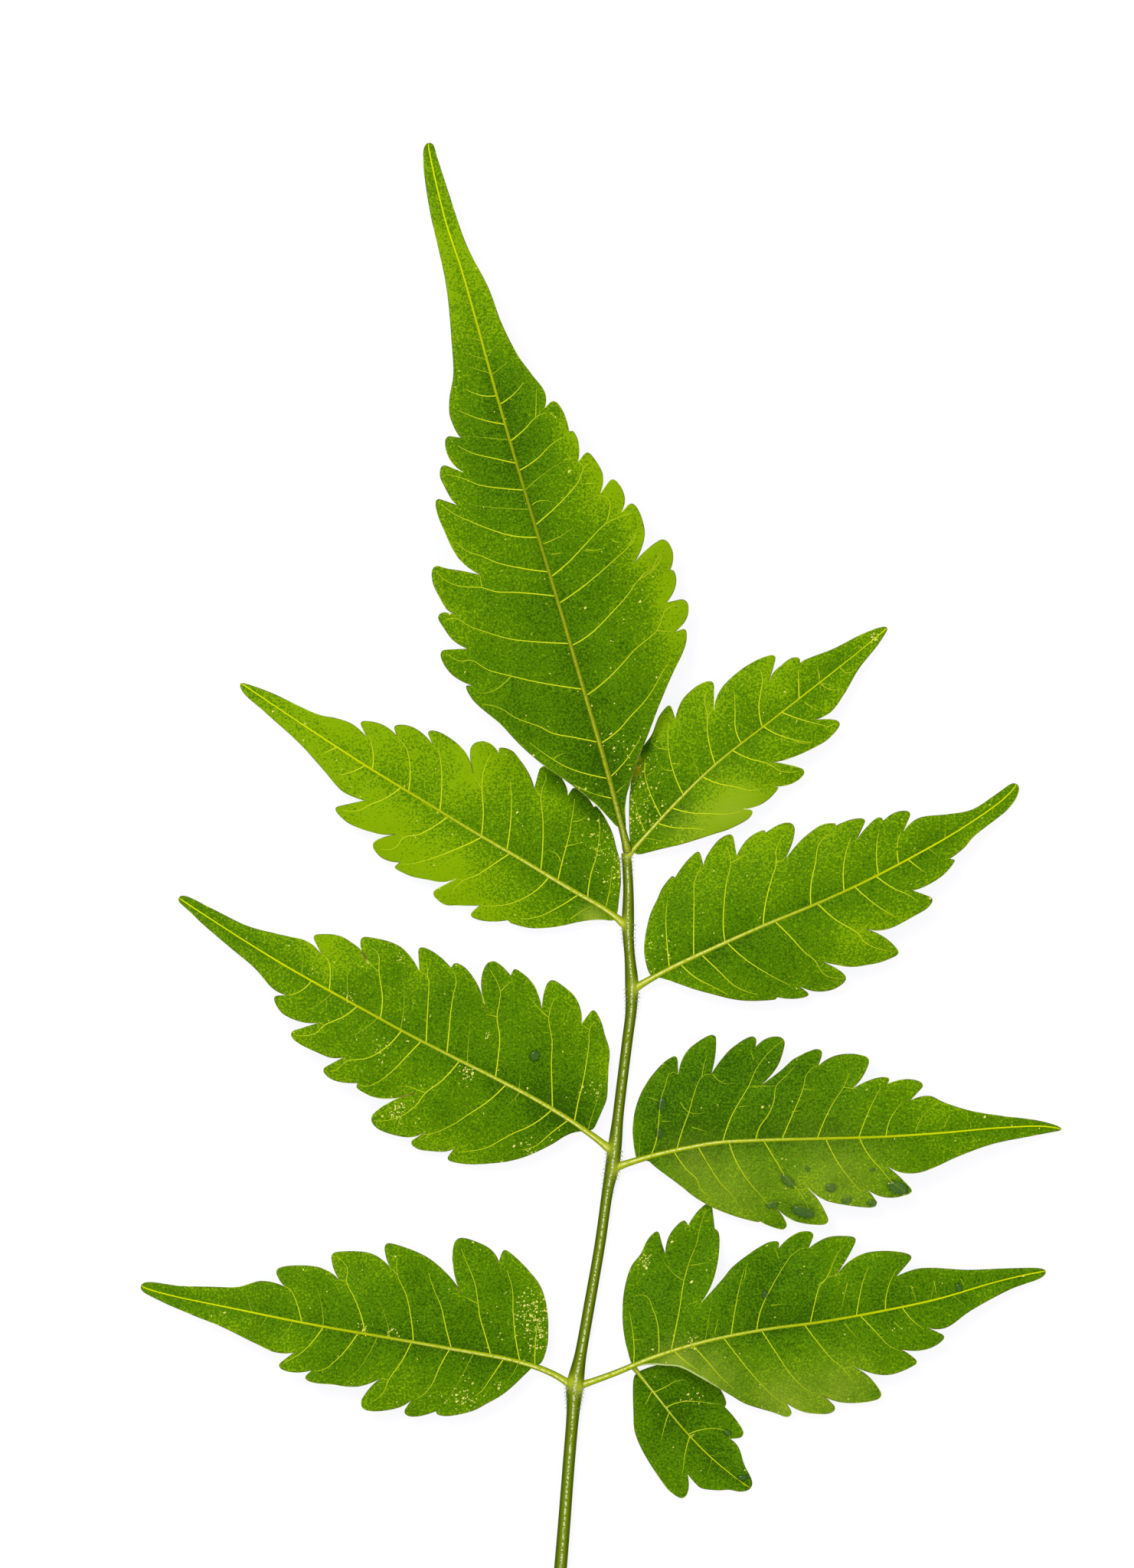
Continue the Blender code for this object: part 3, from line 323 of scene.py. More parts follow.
RIGHT_4 = Leaflet(
    name="leaflet_right_4", joint=(-4.2, 23.7), tip=(56.6, 39.0), arch=3.0, droop=2.6,
    lift=((13.0, -2.0, 4.5, 1.1),),
    midrib=((0, 0.2), (4.9, 0.7), (10.3, 1.55), (17.2, 1.9), (24.9, 1.55), (32.6, 0.7), (40.3, 0.15),
            (48, -0.15), (56.5, 0.1), (62.9, -0.2)),
    left=(
        ((7.2, 1.0), (7.15, 4.6), (7.5, 7.3), (8.6, 10.8), (10.3, 13.65), (11.85, 14.9), (13.2, 16.5),
         (14.9, 17.45)),
        ((14.9, 15.4), (15, 14.2)), ((16.1, 16.35), (18, 17.7), (18.6, 17.75)), ((18.8, 17.05),),
        ((20.7, 18.65), (22.05, 19.2), (22.5, 19.1)), ((22.15, 16.5), (22.05, 15.7)),
        ((22.4, 15.2), (21.85, 12.7), (20.1, 9.2), (18.05, 7.0)),
        ((21.5, 9.3), (23, 10.4), (26.5, 11.85), (28.8, 12.35), (29.85, 12)), ((29.5, 11.3),),
        ((31.5, 12.4), (33, 12.65), (34.6, 12.1)), ((33.3, 10.35),), ((35.9, 11.1), (37.6, 10.9),
         (39.8, 10.15)),
        ((38.4, 8.45), (35.85, 6.1)), ((38.4, 7.6), (40.7, 7.95), (44.5, 7.1), (46.3, 6.0)), ((43.5, 4.05),),
        ((46.1, 4.35), (48, 4.05), (52.6, 2.6), (58, 1.4), (61.85, 0.4), (62.9, -0.2)),
    ),
    right=(
        ((7.4, 0.8), (9.2, 0.75), (11.2, 0.2), (13.2, -0.5), (15.6, -2.6), (18.8, -5.8), (20.3, -7.3),
         (23.6, -9.35), (25.3, -10.4), (26.1, -10.2)),
        ((25.6, -8.6),), ((27.2, -10.1), (28.8, -10.85), (30.7, -11.3), (31.8, -10.95)), ((30.7, -9.05),
         (30.1, -8.4)),
        ((32.2, -10.1), (36.1, -11.05), (38, -10.8)), ((37.4, -8.85), (36.5, -7.3), (35.1, -5.9)),
        ((38.4, -7.95), (40.3, -8.25), (43.65, -7.6)), ((42.4, -5.95), (41.8, -5.4)),
        ((44.5, -6.15), (46.5, -5.9), (47.9, -5.1)),
        ((45.9, -3.5),), ((48, -4.05), (51.85, -2.7), (57.6, -1.3), (61.85, -0.85), (62.9, -0.2)),
    ),
)

SIDE_4 = Leaflet(
    name="leaflet_right_4_side", joint=(2.8, 26.2), tip=(18.0, 10.2), rib_radius=0.3,
    arch=-0.4, droop=0.9, half_width=8.0, root_height=1.1,
    midrib=((0, 0), (5, -0.45), (10.3, -0.85), (15.3, -0.8), (19.5, -0.3), (22.1, 0.2)),
    left=(
        ((0.8, 0.2), (1.3, 1.5), (2.2, 3.1), (3.6, 4.6), (5.4, 5.7), (8.2, 6.4), (10.4, 6.1), (11.75, 5.5)),
        ((11.9, 5.05),),
        ((13.8, 5.0), (15.9, 4.6), (16.5, 4.05)), ((15.4, 2.7),),
        ((16.85, 2.75), (19.15, 1.7), (21.3, 1.0), (22.1, 0.2)),
    ),
    right=(
        ((0.4, -0.3), (1.2, -1.3), (2.4, -2.5), (4.3, -4.2), (5.8, -5.5), (8, -6.5), (11.85, -7.4),
         (14.9, -7.75), (17, -7.15)),
        ((16.5, -5.9), (14.9, -4.5)),
        ((16.6, -4.6), (17.4, -4.5), (19.15, -3.1), (20.1, -2), (21.3, -1.1), (22.1, 0.2)),
    ),
)

LEAFLETS = (TERMINAL, RIGHT_1, LEFT_1, RIGHT_2, LEFT_2, RIGHT_3, LEFT_3, RIGHT_4, SIDE_4)


@dataclass(frozen=True)
class Dressing:
    """What one leaflet wears: its veins, its colours, its flecks and its drops of water.

    A vein starts on the midrib at the x it begins with and then runs through its points; a branch is
    points alone. Dull veins, from 0 to 1, are narrower and darker. The tone runs from 0 at the deepest
    green to 1 at the lightest. Washes, pale places, flecks, scars and lit rims are round humps of x, y,
    reach and strength. A wash lightens the blade, or below nothing darkens it: most washes are painted
    light and shade across the blades, some are painted shadow where the end leaflet lies over a
    neighbour, and a few are the leaf's own tone. A pale place is painted sheen and a lit rim a painted
    highlight on the margin. The strength of flecks is the chance of one. A drop is x, y, half its
    width, half its length, and the angle in degrees from the midrib's heading to its length.
    """
    leaflet: Leaflet
    veins: tuple
    faint_veins: tuple = ()
    branches: tuple = ()
    tone: float = 0.5
    # Washes: painted light and shade, painted shadow and some of the leaf's own tone
    painted_light_and_tone: tuple = ()
    # Pale places: where the blade gets its painted sheen
    pale: tuple = ()
    flecks: tuple = ()
    scars: tuple = ()
    drops: tuple = ()
    lit_rims: tuple = ()
    dull_veins: float = 0.0


DRESSINGS = (
    Dressing(
        leaflet=TERMINAL, tone=0.50,
        veins=(
            (6.6, (7.8, 1.8)),
            (9.3, (11.9, 4.0), (13.7, 5.9), (16.6, 8.2)),
            (14.2, (15.8, 2.65), (16.9, 4.9), (18.4, 6.6), (20.2, 9.1), (21.9, 10.65), (23.1, 12.8)),
            (21.4, (24, 5.3), (25.6, 8.2), (27.2, 10.9), (29, 12.65), (29.3, 14.1), (30.8, 15.6)),
            (27.6, (29.3, 4.7), (30.3, 7.1), (31.9, 9.7), (33.4, 11.8), (34.7, 13), (35, 14.4)),
            (34, (35.9, 4.7), (36.65, 7.1), (37.7, 8.8), (38.4, 10.9), (39.3, 12.5), (41.4, 14)),
            (37.3, (38.6, 2.9), (40.2, 5.9), (41.6, 7.65), (42.8, 9.4), (44.3, 10.4)),
            (42, (43.1, 3.2), (44.6, 5.6), (46.6, 8.2), (47.8, 9.6), (49.6, 11)),
            (48.4, (49.2, 2.3), (50.6, 5.5), (52, 7.3), (53.1, 9.2)),
            (52, (53.35, 2.6), (54.8, 5.2), (56.3, 6.85)),
            (57.3, (58.9, 3.2), (60.7, 5.5)),
            (61.2, (61.7, 2), (63.1, 3.9)),
            (9.4, (10.8, -2.9), (12.2, -4.6), (13.4, -5.9)),
            (14, (15, -3.2), (16.35, -5.3), (17.8, -7.65), (19, -9.1), (20.8, -10.9), (22.1, -12.35)),
            (20.5, (21.6, -3.2), (23.1, -5.9), (24.6, -8.2), (26.2, -11.6), (28.4, -13.4), (28.7, -15)),
            (27.3, (28.1, -3.2), (30.2, -6.9), (31.6, -9.1), (33.1, -11), (33.9, -13.2), (35.5, -14.85)),
            (33, (34, -3.2), (35, -5.6), (36.1, -7.9), (38.1, -11.6), (39, -12.35)),
            (36.6, (37.8, -2.9), (39.6, -5.9), (41.35, -9), (41.8, -12.6)),
            (43.6, (45.8, -4.4), (47.5, -6.9), (49.1, -8.2), (49.6, -9.4)),
            (51, (51.9, -2.7), (53.1, -4.8), (53.7, -6.8)),
            (55, (56, -2.1), (57.1, -3.9), (57.3, -5.35)),
            (60, (60.7, -1.8), (61.9, -3.6)),
        ),
        faint_veins=(
            (45.8, (46.8, 3.2), (48.6, 7.65)), (55.2, (57.3, 5.8)), (64.2, (66.6, 4.0)), (66, (68, 3.2)),
            (68.6, (70.1, 2.6)), (73.5, (75, 2.1)), (48.3, (50.1, -3.9), (50.7, -6.8)), (64, (65.1, -2.7)),
            (66.3, (67.8, -1.7)), (4.2, (5.3, 1.0)), (70.4, (71.6, -1.9)),
        ),
        branches=(
            ((25.6, 8.2), (24.35, 11.2), (24.7, 12.9), (25.8, 13.5)), ((37.7, 8.8), (39.4, 8.6)),
            ((26.2, -11.6), (25.4, -13.9)), ((41.4, -9), (44.2, -10.2), (45.1, -9.3), (44.5, -7)),
            ((57.1, -3.9), (60.7, -5)), ((41, -0.4), (41.3, -2.6), (42, -4.8)), ((49.3, -8.2), (50.1, -7.7)),
            ((33.1, -11), (34, -13.1), (33.2, -14.7)), ((34, -13.1), (36.1, -15)),
            ((37.9, -11.1), (39.3, -12.5)), ((50.8, -5.9), (50.7, -7.2)), ((47.1, -7.8), (46.7, -9.3)),
            ((39, -9.1), (38.4, -10.3)), ((38.8, -5.5), (38.4, -6.7), (38.3, -8)),
            ((39.4, -1.1), (39.2, -2.6)), ((57.2, -5.9), (55.8, -6.6)),
            ((46.3, -0.4), (46.5, -1.7), (45.9, -3)), ((13.7, 5.9), (14, 5.2), (14.1, 4.1)),
            ((9.7, 4.1), (8.8, 3.1), (7.9, 1.9), (6.7, 0)), ((7.3, -0.9), (8.1, -2.4)),
            ((10.4, -3.1), (10.2, -4.1)),
        ),
        painted_light_and_tone=(
            (10, 0, 9, -0.22), (30, -16, 4, 0.50), (38, -15, 4, 0.55), (46, -11, 4, 0.50), (54, -8, 4, 0.36),
            (24, -14, 4, 0.26), (22, 10, 8, -0.12), (80, 0, 14, 0.34), (38, 13, 5, 0.10), (56, 0, 9, -0.22),
            (30, -7, 7, -0.06),
        ),
        flecks=((8, 3.5, 2.5, 0.03), (12, -4, 3, 0.03)),
        lit_rims=(
            (6.3, 2.1, 1.4, 0.36), (8.6, 3.6, 1.4, 0.42), (11, 5.4, 1.4, 0.42), (13.6, 7.6, 1.4, 0.36),
            (8.4, -3.3, 1.4, 0.36), (11, -5, 1.4, 0.36),
        ),
    ),
    Dressing(
        leaflet=RIGHT_1, tone=0.60,
        veins=(
            (6.2, (7.3, 4.45), (8.55, 6.8), (9.8, 8)),
            (10.3, (11.05, 3.6), (12.6, 6.65), (14.1, 8.5), (15.1, 9.3)),
            (16, (16.9, 3.3), (18.3, 5.55), (19.5, 6.8), (20.1, 8), (21.3, 9.3)),
            (20.4, (21, 3), (22.4, 4.7), (24.1, 6.7)),
            (23.8, (25.2, 3.2), (26.6, 4.45), (27.9, 5.55), (28.6, 6.9)),
            (29.9, (30.8, 1.7), (32.4, 3.6)),
            (5.3, (6.6, -1.4), (8.3, -3), (9.5, -4.4)),
            (8, (9.4, -1.25), (11, -2.8), (13, -4.6), (14.7, -5.6)),
            (13.7, (14.7, -0.85), (16, -2.5), (17.2, -4.2), (18.6, -5)),
            (18.9, (19.9, -1.1), (21.2, -3), (21.9, -5), (23.6, -6.5)),
            (24, (24.7, -1.1), (26, -3.2), (27.4, -4.85)),
            (27, (28.3, -1.65), (29.4, -3.3), (30.4, -4.7)),
        ),
        faint_veins=(
            (3.2, (4.25, 3.3)), (13.3, (14.7, 4.7)), (33.3, (34.4, 2.1)), (2.7, (4.95, -2.5)),
            (33.3, (34.9, -2)), (37.5, (38.4, 1.2)),
        ),
        branches=(
            ((12.8, 6.8), (11.9, 7.8), (11.7, 8.8), (11.9, 9.3)), ((19.5, 6.8), (20.6, 6.8)),
            ((11.4, 4.4), (10.7, 5), (10.5, 6.1)), ((11.9, 5), (12.9, 4.2)), ((8.6, 6.7), (9.4, 7.7)),
            ((3.3, 0.6), (4.2, 3.1), (5.2, 4.8)), ((36.6, 0.2), (36.9, -1.1), (38.3, -1.3)),
            ((33.3, 0.2), (33.8, -1.3), (35, -2.1)), ((33.7, 0.8), (34.4, 2)), ((30.1, -4.6), (31.6, -5.1)),
            ((30.1, -0.3), (30.4, -1.3), (30.9, -2.4)), ((26, -3.4), (26.5, -4.2), (27.5, -4.8)),
            ((6.5, 3.4), (5.7, 3.9)), ((8.4, 6.1), (9.6, 5.9)),
        ),
        # The deep darkenings at the left base, under the end leaflet's margin, are painted shadow
        painted_light_and_tone=(
            (8, 2, 6, -0.20), (20, 9, 5, 0.12), (13, -5, 6, 0.62), (30, 5, 4, 0.16), (10.4, 9.6, 1.3, -0.9),
            (13.4, 9.5, 2.2, 0.3), (11.6, 10.4, 1.1, -0.5),
        ),
        pale=((8, -3, 3, 0.25), (14, -5, 3.5, 0.35)),
        scars=((7.4, 7.05, 0.42, 0.9), (8.1, 7.75, 0.45, 1.1), (8.9, 8.45, 0.4, 0.9)),
        flecks=((4, 3, 2.6, 0.18), (7.5, 6.5, 2.2, 0.10), (42.4, 0.05, 0.45, 1.0)),
    ),
    Dressing(
        leaflet=LEFT_1, tone=0.66,
        veins=(
            (6.75, (8.4, 3.1), (9.8, 5.2), (11.6, 6.6)),
            (11.3, (11.9, 2.7), (13.7, 5.6), (15.9, 7.35), (16.9, 7.8)),
            (17.2, (18.4, 2.7), (19.4, 4.85), (20.5, 6.35), (20.9, 8.4)),
            (21.4, (23, 2.7), (24.8, 5.2), (26.6, 7.35), (28.4, 8.85)),
            (26.6, (27.6, 2.7), (28.7, 4.5), (30, 5.65), (30.3, 7.5), (31.75, 8.6)),
            (33.8, (34.8, 2.7), (36.2, 4.7), (36.75, 5.75), (38.7, 7)),
            (39.3, (40.5, 2.35), (41.6, 3.4)),
            (43.7, (44.8, 2.2)),
            (5.5, (6.75, -3), (7.6, -5.9), (9.1, -9.1)),
            (10, (11, -3), (11.9, -5.9), (13, -8.5), (13.9, -10.5)),
            (12.6, (14.1, -3), (15.9, -5.9), (17.8, -8.4), (18.4, -10.7)),
            (17.75, (19.1, -3), (20.5, -5.5), (22.3, -8)),
            (21.6, (23, -2.6), (24.8, -5.1), (25.9, -7.3), (26.2, -10)),
            (27.9, (29.4, -2.6), (30.9, -4.8), (32.5, -6.5)),
            (32.7, (34.1, -2.3), (36, -4.3), (37.6, -4.8)),
            (38.2, (39.4, -1.6), (40.9, -3)),
        ),
        faint_veins=((31.2, (32.3, 3.4)), (36.9, (39, 4.1)), (47, (48.1, 1.6))),
        branches=(
            ((20.5, 6.35), (21.4, 6.65)), ((30, 5.65), (30.9, 5.7)), ((17.8, -8.4), (19.1, -8.85)),
            ((24.8, -5.1), (26.6, -5.95)), ((12.5, -7.8), (11.7, -8.6), (11.4, -9.5)),
            ((7.8, -6.2), (6.7, -7.4)), ((7.8, -6.2), (8.9, -6.5)),
            ((11.7, -4.4), (10.8, -5.4), (9.7, -6.4)), ((17.8, -8.5), (18.6, -8.4)),
            ((11.1, -2.6), (12, -3.1), (13.4, -2.9)), ((2.9, -0.7), (4.1, -3.8), (5.1, -5.6)),
            ((6, 3.1), (5.3, 1.5), (4.4, 0)), ((18.3, -10.5), (18.9, -11.2)), ((9, -8.8), (10.1, -10.4)),
        ),
        painted_light_and_tone=(
            (24, 8, 6, 0.26), (34, 6, 5, 0.24), (15, 7, 5, 0.10), (8, -4, 6, -0.34), (18, -5, 6, -0.12),
            (46, 0, 9, 0.30), (27, -8, 5, 0.26), (14, 3, 5, -0.04), (23, 2, 6, 0.10),
            # These darkenings along the right margin are painted shadow where the end leaflet lies over it
            (10.6, -10.6, 1.3, -0.45), (12.8, -11, 1.3, -0.45), (15.2, -11.3, 1.5, -0.5),
            (17.8, -11.6, 1.5, -0.4), (8.8, -9.8, 1.2, -0.25), (16.5, -8.2, 2, 0.2),
        ),
        pale=((3.6, 1.5, 1.6, 0.6),),
        flecks=((4.5, -6, 2.2, 0.25), (8, -9, 2.4, 0.10)),
    ),
    Dressing(
        leaflet=RIGHT_2, tone=0.56,
        veins=(
            (4.9, (6.3, 3.55), (7.65, 6.3), (8.9, 8.2)),
            (8.4, (9.7, 2.5), (11.8, 6.3), (13.2, 8.7), (14.9, 9.9)),
            (12.9, (13.9, 2.2), (16.8, 6.65), (18.5, 8.6), (19, 10.8)),
            (18.3, (19.7, 1.5), (21.8, 3.9), (23.7, 5.8), (24.4, 7.2), (26.3, 8.55)),
            (25, (26.3, 1.15), (28.3, 3.55), (29.7, 5.3), (31.8, 5.8)),
            (29.7, (31.1, 1.15), (32.5, 2.9), (33.9, 4.2)),
            (34.7, (35.6, 0.45), (37.3, 3)),
            (37.65, (38.7, 0.45), (39.9, 1.65)),
            (6.45, (7.3, -2.3), (8.7, -4.4), (10.1, -6.45)),
            (9.4, (10.4, -3), (11.4, -5.9), (13.5, -8.2)),
            (13.1, (14.2, -3.35), (15.9, -6.45), (17.8, -9.2)),
            (19.9, (20.8, -3.7), (21.4, -6.1), (22.1, -7.8), (22.3, -9.9), (23.9, -11.45)),
            (25.9, (27, -4.4), (28.7, -7.3), (29, -8.9), (31.4, -11.45)),
            (31.2, (32.5, -5.1), (34, -7.65)),
            (34.3, (35.6, -4.4), (36.8, -5.9), (37.5, -7.3)),
            (39, (40.1, -4.4)),
        ),
        faint_veins=((2.7, (3.3, 2.2)), (42, (42.8, -3.7)), (44.5, (45.6, -0.3))),
        branches=(((18.5, 8.6), (21.4, 8.6)), ((23.7, 5.8), (25, 5.7)), ((28.7, -7.3), (29.8, -7.2))),
        painted_light_and_tone=((10, 3, 7, -0.10), (16, -7, 7, -0.16), (30, -9, 6, 0.10), (24, 9, 5, 0.12), (14, 8, 5, 0.08)),
        flecks=((4, 3, 2, 0.06),),
    ),
    Dressing(
        leaflet=LEFT_2, tone=0.52,
        veins=(
            (6.1, (7.2, 1.85), (8.2, 4.5), (9.4, 5.7)),
            (8.65, (9.9, 2.2), (11.65, 4.7), (13.6, 7.9), (14.9, 9.1), (16.4, 10.2)),
            (15.5, (16.4, 2.4), (17.8, 5.3), (19, 7.7), (20.7, 9.9), (22, 10.7)),
            (22.3, (23, 3.2), (24, 5.6), (24.3, 7.8), (25.3, 10), (27, 11.7), (28, 12.2)),
            (27.9, (28.6, 3), (29.1, 5.1), (29.9, 7.2), (30.9, 8.65), (32.2, 9.1)),
            (30.8, (31.5, 3.2), (32.8, 5.5), (34.9, 7.2), (35.5, 8.8), (36.1, 9.5)),
            (37.4, (38.2, 2.4), (39.85, 4.7), (40.3, 6.2), (41.7, 7.4), (42.8, 7.8)),
            (44.2, (44.85, 2.6), (46.1, 3.8)),
            (5.3, (6.3, -3.5), (7, -5.85), (7.9, -8.3), (8.8, -10.5), (9.7, -12.2), (9.6, -13.5)),
            (8.65, (10.3, -3.5), (11.85, -6), (13.2, -8.5), (15.1, -10.9), (15.7, -13.5)),
            (17.15, (18.2, -3.15), (19.35, -5.5), (21, -7.6), (21.65, -9.3), (22.3, -10.65), (24.9, -12.4)),
            (24.2, (25.5, -3), (26.5, -5.1), (27.4, -7.4), (27.8, -8.7), (29, -9.9)),
            (27.2, (28.6, -2.6), (29.9, -5.1), (31.3, -7.4), (32.8, -7.6)),
            (34, (35.1, -2.2), (37.2, -4.9), (38.4, -6.8), (39.7, -7.1)),
            (41.6, (42.4, -1.2), (43.6, -2.8), (44.9, -3.1)),
        ),
        faint_veins=(
            (3.2, (3.8, -2.8), (4.15, -4.7), (4.25, -6)), (13.4, (13.9, 1.9)), (34.3, (35.5, 3.2),
             (36.9, 4.9)),
            (41.1, (42, 3), (43.2, 4.5)), (48.4, (49, 2.2)), (13.7, (14.5, -2.6)),
            (21.2, (22.6, -3), (23.8, -5.5)), (31, (32.2, -2.8), (33.6, -5.1), (34.5, -6)),
            (38.8, (40.3, -2), (41.8, -4.3)), (45.7, (46.9, -2)),
        ),
        branches=(
            ((20.7, 9.9), (21.5, 11.5)), ((24, 5.6), (24.9, 5.8), (26.5, 6.1), (27.6, 7)),
            ((34.9, 7.2), (35.5, 7)), ((39.85, 4.7), (40.7, 4.7)), ((9.7, -12.2), (10.9, -12.2)),
            ((15.1, -10.9), (16.5, -11.2), (18.6, -11.9)), ((21, -7.6), (22.3, -7.2)),
            ((22.3, -10.65), (21.65, -12.8)), ((31.3, -7.4), (32.6, -9.3)), ((37.2, -4.9), (38.6, -5.1)),
        ),
        painted_light_and_tone=(
            (8, -1, 6, -0.34), (20, -2, 7, -0.10), (26, -10, 6, -0.10), (44, -4, 4, 0.30), (6, -9, 3, 0.08),
            (30, 6, 8, 0.04), (52, 0, 9, 0.06),
        ),
        flecks=(
            (20.6, 0.5, 0.8, 0.55), (25.8, 9.6, 1.2, 0.30), (31.4, 3.6, 1.2, 0.14), (5, -5.5, 1.0, 0.32),
            (35.8, -8, 0.8, 0.35), (39.1, -0.2, 0.5, 0.4), (44.6, -0.2, 0.5, 0.4), (20.6, -5, 0.5, 0.4),
            (8.5, 5.2, 1.2, 0.2),
        ),
        drops=((14.2, -5.7, 0.62, 0.68, 90),),
    ),
    Dressing(
        leaflet=RIGHT_3, tone=0.40, dull_veins=0.22,
        veins=(
            (4.3, (5.3, 3.6), (5.7, 5.6), (6.3, 8.6), (6.9, 10.05), (7.8, 11.9), (8.85, 11.7)),
            (7.75, (8.7, 4.35), (9.8, 6.7), (10.5, 8.6), (11.9, 11.1), (13.2, 11.3)),
            (13.8, (15.1, 5.4), (16.4, 7.4), (17.8, 9.3), (19.05, 11.5), (20.9, 13.5), (23, 14.9)),
            (18.1, (18.8, 4), (20, 5.4), (20.9, 7.05), (21.4, 9.05), (23, 10.4), (23.9, 11.3)),
            (21.5, (23, 4.9), (24.8, 8.3), (25.4, 10.05), (26.5, 11.1), (27.2, 11.2)),
            (26.1, (27.6, 4.7), (29.05, 6.85), (30.1, 8.1), (31, 9.9)),
            (31.5, (32.5, 3.6), (33.7, 5.8), (35, 7.75)),
            (35.05, (35.7, 3.3), (36.75, 4.7), (37.6, 5.6)),
            (7.35, (8.7, -0.6), (10.1, -2.25), (10.3, -3.3), (11.9, -4.75)),
            (10.5, (11.75, -0.45), (13, -2.8), (14.4, -4.55), (15.1, -6.2)),
            (14.6, (15.5, -0.65), (16.9, -3.3), (18.4, -5.3), (19.4, -7.05)),
            (19.1, (20.5, -0.65), (21.75, -3.15), (23, -4.65), (24.25, -7.4)),
            (27.2, (28.4, -1.35), (29.8, -3.7), (31.2, -5.45), (32, -5.4)),
            (31.6, (32.6, -1), (34.05, -2.95), (35.3, -4.75), (36.9, -6)),
        ),
        faint_veins=((2.7, (3, 2.9), (3.2, 4.5)),),
        branches=(
            ((11.9, 11.1), (12.3, 12.6), (12.9, 14)), ((18.3, 9.3), (21.5, 9.1)),
            ((18.8, 12.6), (18.5, 14.1)), ((30.1, 8.1), (31.4, 7.9)), ((23, -4.65), (24.35, -4.6)),
            ((13.3, 11.3), (14.7, 10), (16.2, 10)), ((8.8, 8.1), (9.9, 6.6), (11.8, 6.5)),
            ((16.3, 6.8), (17.9, 6.8)), ((10, 4.7), (11.8, 4)), ((23.1, 5.6), (24.3, 5.6)),
            ((24.9, 8.4), (26.4, 8.1)), ((30.7, 8), (32.2, 7.7)), ((4.8, 9), (6.3, 8.3)),
            ((6.1, 5.8), (7.4, 5.7)), ((38.9, 1.5), (40.3, 3.7), (42.3, 4.9)),
            ((42.6, 1.6), (43.7, 3.4)), ((46.2, 1.3), (46.2, 2.2)),
        ),
        painted_light_and_tone=(
            (8, 6, 7, -0.26), (14, 12, 5, -0.18), (20, 12, 5, -0.14), (26, -6, 8, 0.14), (14, -4, 6, 0.12),
            (40, 4, 6, 0.20), (50, 1, 6, 0.12), (22, 5, 6, -0.10), (23.6, -7.6, 1.4, -0.3),
            (21.3, -6.4, 1.0, -0.2),
        ),
        pale=((26, -3, 6, 0.20), (14, -4, 5, 0.28), (31, -5, 5, 0.16), (9, 0, 3, 0.24)),
        drops=(
            (6.4, 7.9, 0.56, 0.92, 80), (5.7, 4.3, 0.46, 0.66, 80), (21.8, -3.3, 0.62, 1.05, -50),
            (24.5, -2, 0.28, 0.42, -60), (27.3, -4.7, 0.58, 0.70, 0), (19.5, -6.3, 0.50, 0.78, 10),
            (23.5, -7.5, 0.78, 1.50, -20), (29.2, -6.5, 0.52, 0.68, 20), (32.5, -7.2, 0.44, 0.66, 0),
            (36, -5.5, 0.82, 1.30, -25), (32.9, -2.9, 0.22, 0.36, 0),
        ),
    ),
    Dressing(
        leaflet=LEFT_3, tone=0.48, dull_veins=0.10,
        veins=(
            (9.15, (10.3, 1.7), (11.05, 3.5), (11.8, 4.4)),
            (16.3, (17.1, 1.7), (17.6, 4.2), (18.5, 5.8), (19.25, 6.5)),
            (21.4, (22.1, 2.05), (23.2, 4.75), (23.5, 6.5), (24.8, 8.15)),
            (28.4, (29.6, 2.4), (30.5, 3.85), (31.75, 5.3), (33, 5.8)),
            (33, (34.05, 2.25), (35.1, 3.85), (36.2, 4.9), (37.1, 5.8)),
            (5, (5.6, -4), (5.9, -6.5)),
            (7, (8.35, -4.35), (9.4, -7.6), (10.1, -10.25), (11.75, -12.85), (12.6, -13.2)),
            (10.9, (12.3, -3.8), (13.4, -5.8), (14.05, -7.55), (15.1, -10.05), (16.6, -12.2), (17.75, -13.8)),
            (16.1, (17.5, -3.65), (18.7, -6.15), (20, -7.9), (21.2, -9.9)),
            (21.15, (22.1, -3.65), (23.4, -6.5), (25.1, -8.8), (25.6, -10.95)),
            (27.5, (28.7, -2.9), (30.1, -4.9), (31.4, -6.5), (31.6, -8.1), (33.4, -9.35)),
            (35.9, (36.9, -2.05), (38.2, -3.8), (39.1, -4.1)),
        ),
        faint_veins=(
            (7.2, (7.8, 1), (8.7, 2.25)), (13.15, (13.9, 1.7), (14.6, 4.2), (15.5, 6.4)),
            (25.8, (26.6, 2.4), (27.5, 4.6), (28.5, 5.8)), (37.1, (38, 2.4), (39.4, 3.5)),
            (40.4, (41.2, 2.25)), (24.25, (25.5, -3.3), (27.1, -5.4)), (33.05, (33.7, -2.4), (35, -4.9)),
            (42.5, (43.6, -1.8)),
        ),
        branches=(
            ((23.2, 4.75), (24.4, 4.8)), ((14.05, -7.45), (16.1, -8)), ((25.1, -8.8), (26.4, -9.6)),
            ((31.4, -6.5), (32.4, -6.5)),
        ),
        painted_light_and_tone=((9, -3, 6, -0.10), (24, -8, 7, 0.04), (30, -9, 5, 0.06), (48, 0, 9, 0.06), (20, -5, 8, -0.20),
                (18, 5, 8, 0.06)),
        flecks=(
            (6.5, -7.5, 2.5, 0.32), (5.5, -5, 1.6, 0.22), (13, 5.2, 1.5, 0.26), (8.9, 2.3, 0.5, 0.5),
            (24, -1.3, 0.7, 0.5), (28, -0.8, 0.6, 0.5),
        ),
    ),
    Dressing(
        leaflet=RIGHT_4, tone=0.44, dull_veins=0.22,
        veins=(
            (7.4, (8.1, 3.5), (8.5, 6.5), (8.6, 8.1)),
